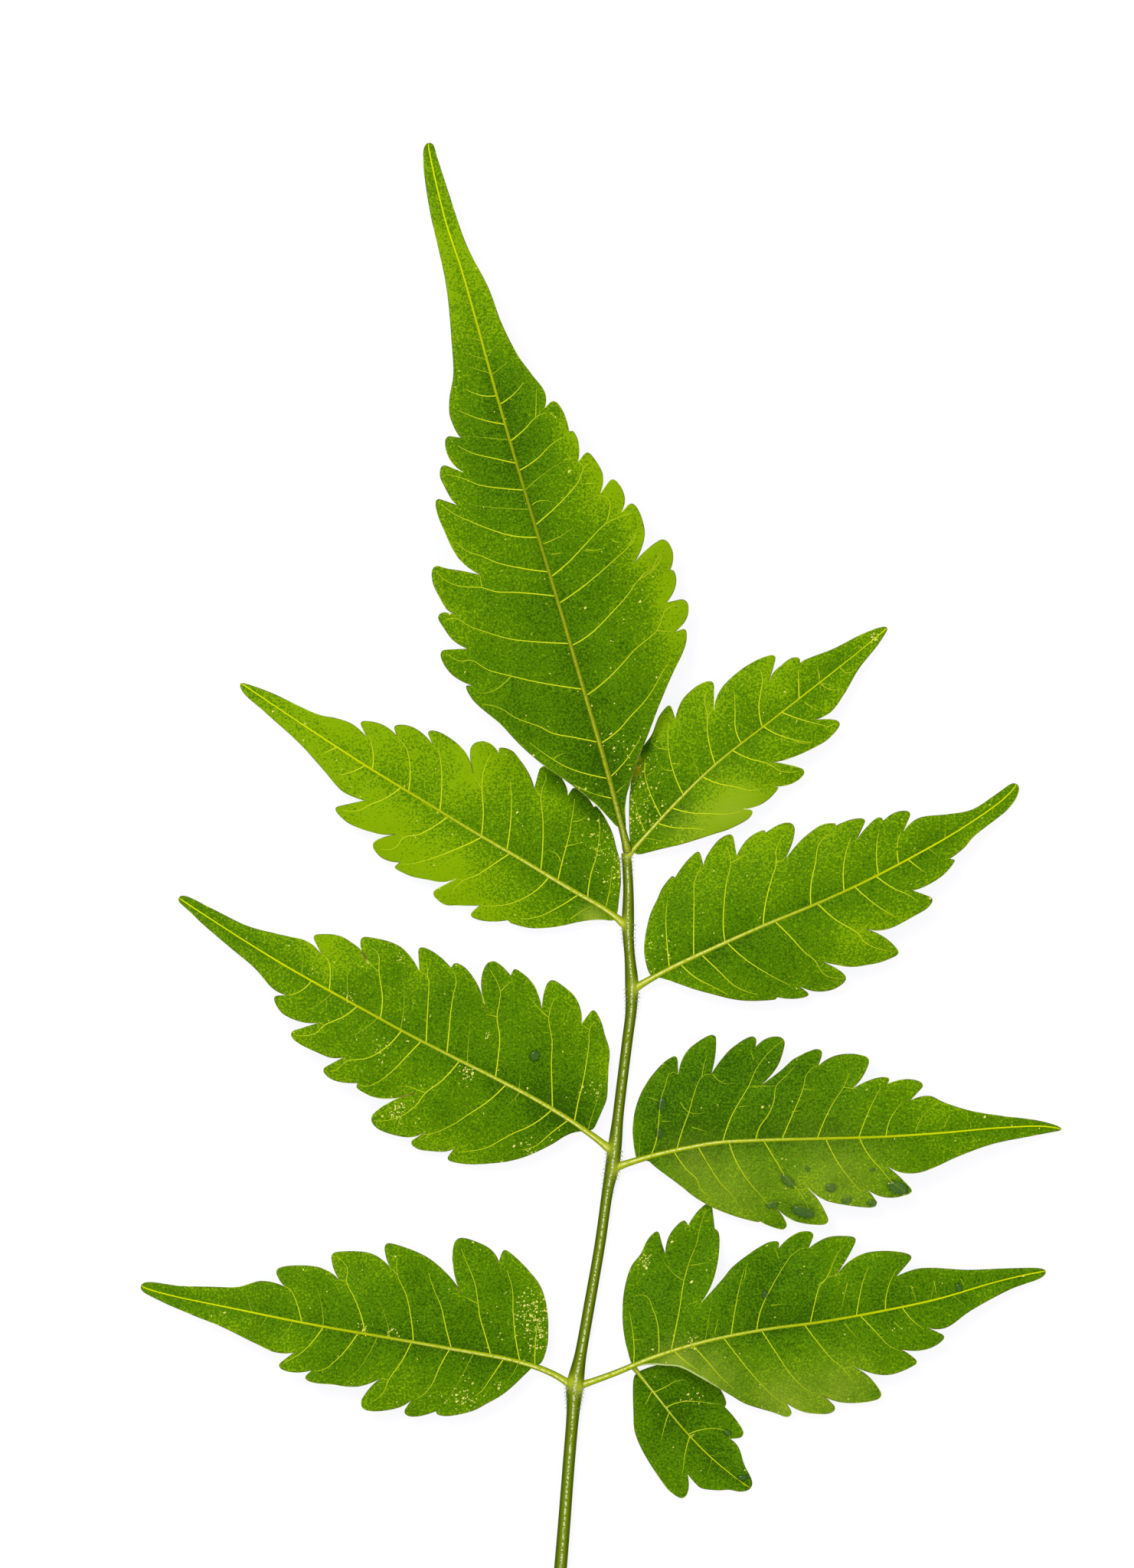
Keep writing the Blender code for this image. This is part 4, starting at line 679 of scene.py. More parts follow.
            (10.95, (11.5, 3.85), (11.8, 5.8), (11.65, 7.7), (11.3, 9.4), (9.7, 9.8)),
            (12.6, (13.8, 4.2), (14.9, 6.5), (16.5, 10.2), (18, 12.7), (19.15, 14.2), (20.3, 16.5),
             (21.65, 18.5)),
            (20.7, (21.85, 4.6), (23.2, 7.5), (24.5, 9.8)),
            (24.1, (25.3, 4.2), (27.2, 6.5), (29.15, 8.5), (30.9, 10), (32.2, 10.5), (33.3, 10.4)),
            (31.1, (32.2, 3.1), (33.4, 5.2), (34.7, 6.2), (36.5, 8.5), (37.6, 9.4)),
            (37.15, (38, 2.3), (39.15, 4.6), (40.3, 6.15)),
            (41, (41.65, 2.1), (42.6, 3.65), (43.8, 5)),
            (13, (14.15, 0), (15.5, -1.5)),
            (15.5, (16.85, -0.6), (18, -2.9), (19.35, -5)),
            (19.65, (21.1, -1.5), (22.6, -4.6), (24.15, -7.3), (25.5, -8.8)),
            (24.7, (25.9, -1.9), (27.2, -5.4), (28.8, -7.7), (30, -8.35)),
            (30.3, (31.5, -1.9), (32.6, -4.2), (33.8, -5.9), (34.7, -8.3)),
            (37.6, (39, -2.1), (40.3, -4.4), (41.6, -5.5)),
            (43.2, (44.15, -2.1), (45.3, -3.5)),
        ),
        faint_veins=((17.2, (18.3, 4.4), (19.4, 7)), (47, (48.2, 2.2)), (50, (51.2, -1.8))),
        branches=(
            ((16.5, 10.2), (15.1, 11.9), (14.5, 13.65)), ((17.8, 11.9), (20.3, 11.7)),
            ((34.7, 6.2), (35.85, 6.1)), ((33.8, -5.9), (35.1, -5.9)), ((8.1, 4.4), (9.6, 4)),
            ((18.7, 2.6), (19.6, 4.4)), ((24.2, 8.6), (25.1, 10.6)), ((29.2, 10), (29, 11.5)),
            ((33.2, 5.4), (34.8, 6.2)), ((26.7, 4.4), (28.4, 4.2)), ((37.1, 4.9), (35.4, 1.6)),
            ((41.7, -1.6), (42.7, -3.2)), ((35.4, -0.2), (36.6, -2.6)), ((45, 2.5), (45.2, 0)),
            ((48.1, 2.2), (47.9, 0)), ((51.5, 1.7), (51.9, 0.5)), ((17.6, 7.2), (16.2, 7.1)),
        ),
        painted_light_and_tone=(
            (12, 6, 6, -0.14), (16, 13, 5, -0.06), (28, 7, 7, -0.24), (28, -6, 7, 0.12), (44, 3, 6, -0.06),
        ),
        pale=((12.5, 0, 2.5, 0.55), (17, -3, 3.5, 0.40), (25, -8.5, 4, 0.42), (33, -8.5, 4, 0.30)),
        lit_rims=(
            (8.6, 0.75, 1.7, 1.2), (11, 0.25, 1.7, 1.2), (13.2, -0.6, 1.7, 1.2), (15.3, -2.4, 1.7, 1.1),
            (17.2, -4.2, 1.4, 0.6),
        ),
        flecks=((12.4, 13.8, 0.8, 0.6), (15.5, 2.3, 0.8, 0.35)),
        drops=((51, 0.6, 0.42, 0.52, 90), (26.3, 5.9, 0.40, 0.52, 60)),
    ),
    Dressing(
        leaflet=SIDE_4, tone=0.34, dull_veins=0.30,
        veins=(
            (4.1, (4.7, 1.5), (5, 2.75), (5.9, 3.8)),
            (6.6, (7.4, 1.3), (8.4, 2.5), (9.9, 3.8), (11.3, 4.9)),
            (11.2, (11.85, 0.7), (13, 2.2), (14.35, 3), (15.4, 2.7)),
            (3.8, (4.5, -2.25)),
            (7.4, (8.1, -2.1), (9.4, -4.0)),
            (11.5, (12.8, -3), (14.15, -4.65), (14.5, -5.3)),
        ),
        faint_veins=((15.2, (16.2, 1.2)), (15.6, (16.8, -2.6))),
        painted_light_and_tone=((6, 0, 4, -0.08),),
        flecks=((7.4, 2.4, 0.5, 0.5), (8.7, 3.6, 0.4, 0.5), (10.1, 4.0, 0.4, 0.5), (11.6, -0.8, 0.3, 0.9)),
        drops=((14.5, 3, 0.36, 0.60, 20), (20.2, 0.4, 0.36, 0.70, 60)),
    ),
)


class Slot(Enum):
    """The record's two material slots."""
    LEAFLET = "leaflet"
    STALK = "stalk"


def smooth(points: Any, step: float) -> np.ndarray:
    """Return points about a step apart on the curve of cubic pieces through the given points.

    Between two points the curve is the usual cubic with the end slopes given; the slopes come from
    the neighbours, over knots that are spaced by the square root of each gap.

    Args:
        points: the points, x and y first, with any further values after them.
        step: the wanted distance between the points returned, in millimetres.

    Returns:
        One row for each point.
    """
    points = np.array(points, dtype=float)
    gaps = np.linalg.norm(np.diff(points[:, :2], axis=0), axis=1)
    knots = np.concatenate(([0.0], np.cumsum(np.sqrt(gaps))))
    slopes = np.gradient(points, knots, axis=0, edge_order=min(2, len(points) - 1))
    curve = []
    for index, gap in enumerate(gaps):
        parts = max(1, round(gap / step))
        u = (np.arange(parts) / parts)[:, None]
        span = knots[index + 1] - knots[index]
        curve.append(
            (2 * u**3 - 3 * u**2 + 1) * points[index] + (3 * u**2 - 2 * u**3) * points[index + 1]
            + span * ((u**3 - 2 * u**2 + u) * slopes[index] + (u**3 - u**2) * slopes[index + 1]))
    return np.vstack(curve + [points[-1:]])


def margin(runs: tuple, step: float) -> np.ndarray:
    """Return the points of one margin, from the base of the blade to its tip.

    Args:
        runs: the smooth runs, each from the corner before it to a corner of its own.
        step: the distance between the points, in millimetres.

    Returns:
        One row of x and y for each point.
    """
    corner = ()
    stretches = []
    for run in runs:
        stretches.append(smooth(corner + run, step)[:-1])
        corner = run[-1:]
    return np.vstack(stretches + [np.array(corner)])


def blunted(outline: np.ndarray) -> np.ndarray:
    """Return the closed outline with its teeth and its tip blunted.

    Near a sharp corner that points outwards, each point moves onto the curve of second degree that leaves
    one side of the tooth, bends towards the corner and joins the other side.

    Args:
        outline: the closed outline, which runs with the blade to its right.

    Returns:
        As many points as it was given.
    """
    ahead = np.roll(outline, -1, axis=0) - outline
    behind = np.roll(ahead, 1, axis=0)
    turn = np.degrees(np.arctan2(behind[:, 0] * ahead[:, 1] - behind[:, 1] * ahead[:, 0],
                                 (behind * ahead).sum(axis=1)))
    lengths = np.linalg.norm(ahead, axis=1)
    total = lengths.sum()
    along = np.concatenate(([0.0], np.cumsum(lengths)[:-1]))
    corners = np.flatnonzero(np.abs(turn) > SHARP_TURN)
    result = outline.copy()
    for order, corner in enumerate(corners):
        if turn[corner] > 0:
            continue
        gaps = [(along[corner] - along[corners[order - 1]]) % total,
                (along[corners[(order + 1) % len(corners)]] - along[corner]) % total]
        reach = min(BLUNTED, BLUNTED_AT_MOST * min(gaps))
        away = (along - along[corner] + total / 2) % total - total / 2
        near = np.abs(away) < reach
        ends = [np.array([np.interp(place, along, outline[:, axis], period=total) for axis in (0, 1)])
                for place in (along[corner] - reach, along[corner] + reach)]
        u = ((away[near] + reach) / (2 * reach))[:, None]
        result[near] = (1 - u)**2 * ends[0] + 2 * u * (1 - u) * outline[corner] + u**2 * ends[1]
    return result


def in_blocks(work: Callable, points: np.ndarray) -> np.ndarray:
    """Return what the work gives for all the points, done a block at a time to spare memory."""
    blocks = np.array_split(points, max(1, len(points) // POINTS_AT_ONCE))
    return np.concatenate([work(block) for block in blocks])


def inside(outline: np.ndarray, points: np.ndarray) -> np.ndarray:
    """Say which points lie inside the outline, by how often a ray along x crosses it.

    Args:
        outline: the closed outline, one row of x and y for each corner.
        points: the points to test, one row each.

    Returns:
        True or false for each point.
    """
    ahead = np.roll(outline, -1, axis=0)
    rise = np.where(ahead[:, 1] == outline[:, 1], 1.0, ahead[:, 1] - outline[:, 1])

    def odd(block: np.ndarray) -> np.ndarray:
        """Say for one block of points which rays cross the outline an odd number of times.

        Args:
            block: the points, one row each.

        Returns:
            True or false for each point.
        """
        y = block[:, 1][:, None]
        spans = (outline[:, 1] > y) != (ahead[:, 1] > y)
        crossing = outline[:, 0] + (y - outline[:, 1]) * (ahead[:, 0] - outline[:, 0]) / rise
        return np.count_nonzero(spans & (block[:, 0][:, None] < crossing), axis=1) % 2 == 1

    return in_blocks(odd, points)


def distance(points: np.ndarray, others: np.ndarray) -> np.ndarray:
    """Return how far each point is from the nearest of the others."""
    return in_blocks(lambda block: np.linalg.norm(block[:, None] - others, axis=2).min(axis=1), points)


def humps(x: np.ndarray, y: np.ndarray, places: tuple) -> np.ndarray:
    """Return the sum of round humps: strength times e to the minus squared distance over squared reach.

    Args:
        x: where to add them up, in millimetres.
        y: the same.
        places: x, y, reach and strength of each hump.

    Returns:
        The sum at each point.
    """
    total = np.zeros(len(x))
    for centre_x, centre_y, reach, strength in places:
        total = total + strength * np.exp(-((x - centre_x)**2 + (y - centre_y)**2) / reach**2)
    return total


def unit(rows: np.ndarray) -> np.ndarray:
    """Return the rows with each of them scaled to length one."""
    return rows / np.linalg.norm(rows, axis=1)[:, None]


def headings(degrees: float) -> tuple[np.ndarray, np.ndarray]:
    """Return the directions along and across something that lies at an angle.

    Args:
        degrees: the angle from the x axis to its length.

    Returns:
        The direction ahead and the one to its left, each of length one.
    """
    ahead = np.array((math.cos(math.radians(degrees)), math.sin(math.radians(degrees))))
    return ahead, np.array((-ahead[1], ahead[0]))


def tapered_tube(path: np.ndarray, wide: np.ndarray, high: np.ndarray, sides: int,
                 profile: Callable | None = None) -> tuple[np.ndarray, list, dict[str, np.ndarray]]:
    """Carry an oval along a path and close both ends with a pole.

    At the angle a the ring stands wide times cos a to the left of the path and high times sin a above
    it, both times what the profile gives for a.

    Args:
        path: the middle line, one row of x, y and z for each ring.
        wide: half the width at each ring.
        high: half the height at each ring.
        sides: how many corners a ring has.
        profile: a factor for each angle, or nothing for a plain oval.

    Returns:
        The vertices, the faces, and for each vertex how far across and up the ring and how far along
        the path it stands.
    """
    count = len(path)
    angle = np.arange(sides) * 2 * math.pi / sides
    factor = np.ones(sides) if profile is None else profile(angle)
    heading = unit(np.gradient(path[:, :2], axis=0))
    left = np.column_stack((-heading[:, 1], heading[:, 0], np.zeros(count)))
    up = np.array([0.0, 0.0, 1.0])
    ring = (path[:, None]
            + left[:, None] * (wide[:, None] * factor * np.cos(angle))[..., None]
            + up * (high[:, None] * factor * np.sin(angle))[..., None])
    vertices = np.vstack((ring.reshape(-1, 3), path[:1], path[-1:]))
    row, column = np.meshgrid(np.arange(count - 1), np.arange(sides), indexing="ij")
    start = row * sides + column
    beside = row * sides + (column + 1) % sides
    walls = np.stack((start, start + sides, beside + sides, beside), axis=-1).reshape(-1, 4)
    turn = np.arange(sides)
    onward = (turn + 1) % sides
    first = np.column_stack((np.full(sides, count * sides), turn, onward))
    last = np.column_stack((np.full(sides, count * sides + 1), (count - 1) * sides + onward,
                            (count - 1) * sides + turn))
    faces = walls.tolist() + first.tolist() + last.tolist()
    across = np.concatenate((np.tile(np.cos(angle), count), (0.0, 0.0)))
    lift = np.concatenate((np.tile(np.sin(angle), count), (0.0, 0.0)))
    along = np.concatenate((np.repeat(np.linspace(0, 1, count), sides), (0.0, 1.0)))
    return vertices, faces, {"across": across, "lift": lift, "along": along}


def merged(shapes: list) -> tuple[np.ndarray, list, dict[str, np.ndarray]]:
    """Put several shapes into one.

    Args:
        shapes: the vertices, the faces and the values of each.

    Returns:
        The vertices, the faces and the values of all.
    """
    vertices = np.vstack([shape[0] for shape in shapes])
    starts = np.cumsum([0] + [len(shape[0]) for shape in shapes[:-1]])
    faces = [[int(corner + start) for corner in face] for start, shape in zip(starts, shapes)
             for face in shape[1]]
    values = {name: np.concatenate([shape[2][name] for shape in shapes]) for name in shapes[0][2]}
    return vertices, faces, values


def add_piece(name: str, shape: tuple, material: bpy.types.Material, slot: Slot,
              stands_for: str = "") -> None:
    """Make a finished piece that rides on the leaf and sits at the origin, with its place in its mesh.

    Args:
        name: the name of the piece.
        shape: its vertices in millimetres in the shared frame, its faces, and its values by name.
        material: its material, which may read the values as attributes.
        slot: the record's material slot that its finish belongs to; not used.
        stands_for: the solid that it is shown in place of, if any.
    """
    vertices, faces, values = shape
    mesh = bpy.data.meshes.new(name)
    mesh.from_pydata((vertices * MM).tolist(), [], faces)
    mesh.polygons.foreach_set("use_smooth", np.ones(len(mesh.polygons), dtype=bool))
    for label, numbers in values.items():
        attribute = mesh.attributes.new(label, "FLOAT", "POINT")
        attribute.data.foreach_set("value", np.asarray(numbers, dtype=np.float32))
    mesh.materials.append(material)
    mesh.update()
    piece = bpy.data.objects.new(name, mesh)
    bpy.context.scene.collection.objects.link(piece)
    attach(piece, "root")
    if stands_for:
        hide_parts(stands_for)
    LOG.info("%s: %d vertices, %d faces", name, len(mesh.vertices), len(mesh.polygons))


def linear(colour: str) -> tuple[float, float, float, float]:
    """Return an sRGB hex colour as the linear values that a shader takes, by the standard's own curve."""
    parts = [int(colour[i:i + 2], 16) / 255 for i in (1, 3, 5)]
    return (*((c / 12.92 if c <= 0.04045 else ((c + 0.055) / 1.055) ** 2.4) for c in parts), 1.0)


def add_node(tree: bpy.types.NodeTree, kind: str, settings: dict | None = None,
             inputs: dict | None = None) -> bpy.types.Node:
    """Add a node with its settings, and set or link its inputs.

    Args:
        tree: the material's node tree.
        kind: the node's type name.
        settings: the node's own properties.
        inputs: a value, or another node's output, for each input by its name or number.

    Returns:
        The new node.
    """
    node = tree.nodes.new(kind)
    for name, value in (settings or {}).items():
        setattr(node, name, value)
    for name, value in (inputs or {}).items():
        if isinstance(value, bpy.types.NodeSocket):
            tree.links.new(value, node.inputs[name])
        else:
            node.inputs[name].default_value = value
    return node


class Graph:
    """A material's node tree, with the few steps that the finishes here are put together from."""

    def __init__(self, name: str) -> None:
        """Start a material with its shader.

        Args:
            name: the material's name, which says what the real surface is.
        """
        self.material = bpy.data.materials.new(name)
        self.material.use_nodes = True
        self.tree = self.material.node_tree
        self.shader = self.tree.nodes["Principled BSDF"]
        self.place = add_node(self.tree, "ShaderNodeTexCoord").outputs["Object"]

    def attribute(self, name: str) -> bpy.types.NodeSocket:
        """Return one of the mesh's own values."""
        return add_node(self.tree, "ShaderNodeAttribute", {"attribute_name": name}).outputs["Fac"]

    def work(self, operation: str, *values: Any) -> bpy.types.NodeSocket:
        """Return what an arithmetic operation makes of one, two or three values."""
        node = add_node(self.tree, "ShaderNodeMath", {"operation": operation}, dict(enumerate(values)))
        return node.outputs[0]

    def times(self, first: Any, second: Any) -> bpy.types.NodeSocket:
        """Return the product of two values."""
        return self.work("MULTIPLY", first, second)

    def plus(self, first: Any, second: Any) -> bpy.types.NodeSocket:
        """Return the sum of two values."""
        return self.work("ADD", first, second)

    def ramp(self, value: Any, low: float, high: float) -> bpy.types.NodeSocket:
        """Return 0 at the low value and 1 at the high one, which may be the smaller, softly stepped."""
        node = add_node(self.tree, "ShaderNodeMapRange", {"interpolation_type": "SMOOTHSTEP"},
                        {"Value": value, "From Min": low, "From Max": high})
        return node.outputs["Result"]

    def noise(self, size: float, detail: float = CLOUD_DETAIL) -> bpy.types.NodeSocket:
        """Return a cloudy pattern, from 0 to 1, whose blots are about this many millimetres wide."""
        node = add_node(self.tree, "ShaderNodeTexNoise", None,
                        {"Vector": self.place, "Scale": 1 / (size * MM), "Detail": detail})
        return node.outputs["Fac"]

    def swing(self, size: float, amount: float, detail: float = CLOUD_DETAIL) -> bpy.types.NodeSocket:
        """Return a cloudy pattern of this size that moves about nought, this far from end to end."""
        return self.work("MULTIPLY_ADD", self.noise(size, detail), amount, -amount / 2)

    def mix(self, share: Any, first: Any, second: Any) -> bpy.types.NodeSocket:
        """Return the first colour where the share is 0 and the second where it is 1.

        The node keeps one set of sockets for each kind of value. Those for colours are inputs 6 and 7
        and output 2, and the share is input 0.

        Args:
            share: how much of the second colour there is.
            first: a linear colour or a node's output.
            second: the same.

        Returns:
            The mixed colour.
        """
        node = add_node(self.tree, "ShaderNodeMix", {"data_type": "RGBA"}, {0: share, 6: first, 7: second})
        return node.outputs[2]

    def finish(self, colour: Any, roughness: float, specular: float,
               relief: Any = None, depth: float = 0.0) -> bpy.types.Material:
        """Set the shader's colour, gloss and relief.

        Args:
            colour: a linear colour or a node's output.
            roughness: how matt the surface is, from 0 to 1.
            specular: the shader's specular level.
            relief: a pattern that stands up from the surface, if any.
            depth: how deep that relief is, in millimetres.

        Returns:
            The material.
        """
        if isinstance(colour, bpy.types.NodeSocket):
            self.tree.links.new(colour, self.shader.inputs["Base Color"])
        else:
            self.shader.inputs["Base Color"].default_value = colour
        self.shader.inputs["Roughness"].default_value = roughness
        self.shader.inputs["Specular IOR Level"].default_value = specular
        if relief is not None:
            bump = add_node(self.tree, "ShaderNodeBump", None,
                            {"Height": relief, "Distance": depth * MM, "Strength": RELIEF_STRENGTH})
            self.tree.links.new(bump.outputs["Normal"], self.shader.inputs["Normal"])
        return self.material


@dataclass(frozen=True)
class FreshBlade:
    """Fresh neem leaf: a thin waxy skin over green flesh, so deep green with a soft sheen, not a gloss.

    Light comes a little through the thin margins and teeth, which look yellower than the middle.
    Sizes, lines and depths are in millimetres, but mesh_half_width, shaken and fleck_edge are shares
    of the cells' size. A swing is how far a pattern moves the tone, which runs from 0 at the deepest
    green to 1 at the lightest, and the pairs are where a soft step starts and ends.
    """
    deep: str = "#325800"
    middle: str = "#538000"
    light: str = "#87ad00"
    half_way: float = 0.5
    browned_rim: str = "#6d5c26"
    fleck: str = "#ece276"
    scar: str = "#c2a81c"
    pale_rim: str = "#c9cf52"
    lit_rim: str = "#d3df92"
    # The pale tint of the painted sheen, where the blade shines
    painted_sheen: str = "#a8ba38"
    underside: str = "#7d9a58"
    underside_share: float = 0.8
    patch_size: float = 5.0
    patch_swing: float = 0.5
    grain_size: float = 0.26
    grain_swing: float = 1.5
    grain_detail: float = 1.0
    grain_depth: float = 0.03
    mesh_size: float = 1.25
    mesh_half_width: float = 0.07
    mesh_light: float = 0.10
    cloud_size: float = 2.5
    cloud_swing: float = 0.9
    cloud_least: float = 0.4
    scar_size: float = 0.6
    scar_edge: tuple = (0.35, 0.6)
    rim_line: float = 0.176
    rim_size: float = 1.5
    rim_share: float = 0.75
    lit_rim_line: float = 0.11
    edging_size: float = 4.0
    edging_edge: tuple = (0.52, 0.60)
    fleck_size: float = 0.24
    blot_size: float = 0.42
    blot_share: float = 0.5
    shaken: float = 0.7
    fleck_edge: tuple = (0.42, 0.26)
    roughness: float = 0.55
    specular: float = 0.03

    def material(self) -> bpy.types.Material:
        """Return the material of the blades.

        Returns:
            One material, which reads each blade's own values.
        """
        graph = Graph("neem_blade_fresh_waxy")
        tone = graph.plus(graph.attribute("tone"), graph.swing(self.patch_size, self.patch_swing))
        grain = graph.swing(self.grain_size, self.grain_swing, self.grain_detail)
        tone = graph.plus(graph.plus(tone, grain), self.meshed(graph))
        colour = graph.mix(graph.ramp(tone, 0.0, self.half_way), linear(self.deep), linear(self.middle))
        colour = graph.mix(graph.ramp(tone, self.half_way, 1.0), colour, linear(self.light))
        # Painted sheen: a pale tint where the blade would shine
        colour = graph.mix(self.painted_sheen_share(graph), colour, linear(self.painted_sheen))
        scar = graph.times(graph.attribute("scar"), graph.ramp(graph.noise(self.scar_size), *self.scar_edge))
        colour = graph.mix(scar, colour, linear(self.scar))
        for size, share in ((self.fleck_size, 1.0), (self.blot_size, self.blot_share)):
            colour = graph.mix(self.flecked(graph, size, share), colour, linear(self.fleck))
        colour = self.edged(graph, colour)
        under = graph.times(graph.attribute("under"), self.underside_share)
        colour = graph.mix(under, colour, linear(self.underside))
        relief = graph.noise(self.grain_size, self.grain_detail)
        return graph.finish(colour, self.roughness, self.specular, relief, self.grain_depth)

    def meshed(self, graph: Graph) -> bpy.types.NodeSocket:
        """Return the light of the mesh of finest veins: the borders between the cells of a mosaic."""
        net = add_node(graph.tree, "ShaderNodeTexVoronoi", {"feature": "DISTANCE_TO_EDGE"},
                       {"Vector": graph.place, "Scale": 1 / (self.mesh_size * MM)}).outputs["Distance"]
        return graph.times(graph.ramp(net, self.mesh_half_width, 0.0), self.mesh_light)

    def painted_sheen_share(self, graph: Graph) -> bpy.types.NodeSocket:
        """Return the share of painted sheen, a pale tint where the blade shines, as its value pale and a
        faint cloudy pattern say.
        """
        cloud = graph.work("MULTIPLY_ADD", graph.noise(self.cloud_size), self.cloud_swing, self.cloud_least)
        return graph.times(graph.attribute("pale"), cloud)

    def edged(self, graph: Graph, colour: bpy.types.NodeSocket) -> bpy.types.NodeSocket:
        """Draw the thin line of the rim: browned in places, pale in others, bright where it is lit.

        Args:
            graph: the blade's node tree.
            colour: the blade's colour away from the rim.

        Returns:
            The colour with the line.
        """
        lit = graph.attribute("lit")
        worn = graph.times(graph.noise(self.rim_size), self.rim_line)
        worn = graph.work("MULTIPLY_ADD", lit, self.lit_rim_line, worn)
        rim = graph.work("LESS_THAN", graph.attribute("rim"), worn)
        edging = graph.mix(graph.ramp(graph.noise(self.edging_size), *self.edging_edge),
                           linear(self.browned_rim), linear(self.pale_rim))
        edging = graph.mix(lit, edging, linear(self.lit_rim))
        return graph.mix(graph.times(rim, self.rim_share), colour, edging)

    def flecked(self, graph: Graph, size: float, share: float) -> bpy.types.NodeSocket:
        """Return the flecks: the cells of a fine mosaic whose chance is below the value fleck.

        Args:
            graph: the blade's node tree.
            size: how far apart the cells lie, in millimetres.
            share: how many of the value's flecks have this size.

        Returns:
            1 inside a fleck and 0 outside.
        """
        shaken = graph.noise(size * self.shaken, self.grain_detail)
        place = add_node(graph.tree, "ShaderNodeVectorMath", {"operation": "MULTIPLY_ADD"},
                         {0: shaken, 1: (size * MM,) * 3, 2: graph.place}).outputs[0]
        cells = add_node(graph.tree, "ShaderNodeTexVoronoi", {"voronoi_dimensions": "2D"},
                         {"Vector": place, "Scale": 1 / (size * MM)})
        chance = add_node(graph.tree, "ShaderNodeSeparateColor", None,
                          {0: cells.outputs["Color"]}).outputs[0]
        wanted = graph.times(graph.attribute("fleck"), share)
        near = graph.ramp(cells.outputs["Distance"], *self.fleck_edge)
        return graph.times(graph.work("LESS_THAN", chance, wanted), near)


@dataclass(frozen=True)
class FreshRib:
    """The raised midrib and short stalk of a leaflet: smooth pale tissue between dark green flanks.

    The end leaflet's is the main stalk running on, with the same dark flanks and down near its base.
    The top is paler than the flanks partly in its own colour and partly as painted light above and
    painted shade down the sides, and a painted highlight streaks along the top near the joint.
    Places across run from 0 in the middle to 1 at the left side and -1 at the right, heights from 0 at
    the sides to 1 on top, and places along from 0 at the joint to 1 at the tip. The pairs are where a
    soft step starts and ends, and the sizes are in millimetres.
    """
    flank: str = "#66860a"
    back: str = "#aebb04"
    # The painted highlight along the top of the rib
    crest_highlight: str = "#eeee98"
    joint: str = "#c2cc34"
    dark_flank: str = "#496200"
    dark_back: str = "#86960a"
    # The painted highlight along the top of the end leaflet's rib
    dark_crest_highlight: str = "#b8bc30"
    down: str = "#b8c070"
    tip: str = "#d8e202"
    back_height: tuple = (0.45, 0.98)
    streak_size: float = 0.35
    streak_swing: float = 0.7
    crest_aside: float = 0.15
    crest_reach: tuple = (0.34, 0.10)
    crest_size: float = 0.3
    crest_edge: tuple = (0.32, 0.56)
    crest_along: tuple = (0.55, 0.12)
    tip_along: tuple = (0.45, 0.85)
    dark_tip_along: tuple = (0.45, 0.95)
    down_reach: tuple = (0.34, 0.18)
    down_size: float = 0.22
    down_detail: float = 1.0
    down_edge: tuple = (0.46, 0.62)
    down_along: tuple = (0.12, 0.05)
    roughness: float = 0.5
    specular: float = 0.04

    def material(self, name: str, runs_on: bool) -> bpy.types.Material:
        """Return the material of one midrib.

        Args:
            name: the leaflet's name.
            runs_on: whether this midrib is the main stalk running on.

        Returns:
            The material.
        """
        graph = Graph(name + "_midrib_fresh_smooth")
        height = graph.plus(graph.attribute("lift"), graph.swing(self.streak_size, self.streak_swing))
        flank, back, crest_highlight, tip_along = (
            (self.dark_flank, self.dark_back, self.dark_crest_highlight, self.dark_tip_along) if runs_on
            else (self.flank, self.back, self.crest_highlight, self.tip_along))
        # Paler on top than down the sides: partly the rib's own colour, partly painted light and shade
        colour = graph.mix(graph.ramp(height, *self.back_height), linear(flank), linear(back))
        across, along = graph.attribute("across"), graph.attribute("along")
        # Painted highlight: a pale streak along the top, a little off the middle, near the joint
        off_crest = graph.work("ABSOLUTE", graph.plus(across, -self.crest_aside))
        highlight_streak = graph.times(graph.ramp(off_crest, *self.crest_reach),
                             graph.ramp(graph.noise(self.crest_size), *self.crest_edge))
        highlight_streak = graph.times(highlight_streak, graph.ramp(along, *self.crest_along))
        colour = graph.mix(highlight_streak, colour, linear(crest_highlight))
        colour = graph.mix(graph.ramp(along, *tip_along), colour, linear(self.tip))
        if not runs_on:
            colour = graph.mix(graph.attribute("near_joint"), colour, linear(self.joint))
            return graph.finish(colour, self.roughness, self.specular)
        speckle = graph.noise(self.down_size, self.down_detail)
        down = graph.times(graph.ramp(graph.work("ABSOLUTE", across), *self.down_reach),
                           graph.ramp(speckle, *self.down_edge))
        down = graph.times(down, graph.ramp(along, *self.down_along))
        colour = graph.mix(down, colour, linear(self.down))
        return graph.finish(colour, self.roughness, self.specular)


@dataclass(frozen=True)
class FreshVein:
    """The side veins: thin pale threads that let more light through than the flesh between them."""
    thread: str = "#d6e21e"
    sunk: str = "#90ae10"
    roughness: float = 0.5
    specular: float = 0.06

    def material(self) -> bpy.types.Material:
        """Return the material of the side veins.

        Returns:
            The material, which grows duller towards the end of each vein.
        """
        graph = Graph("neem_vein_fresh_smooth")
        colour = graph.mix(graph.attribute("faint"), linear(self.thread), linear(self.sunk))
        return graph.finish(colour, self.roughness, self.specular)


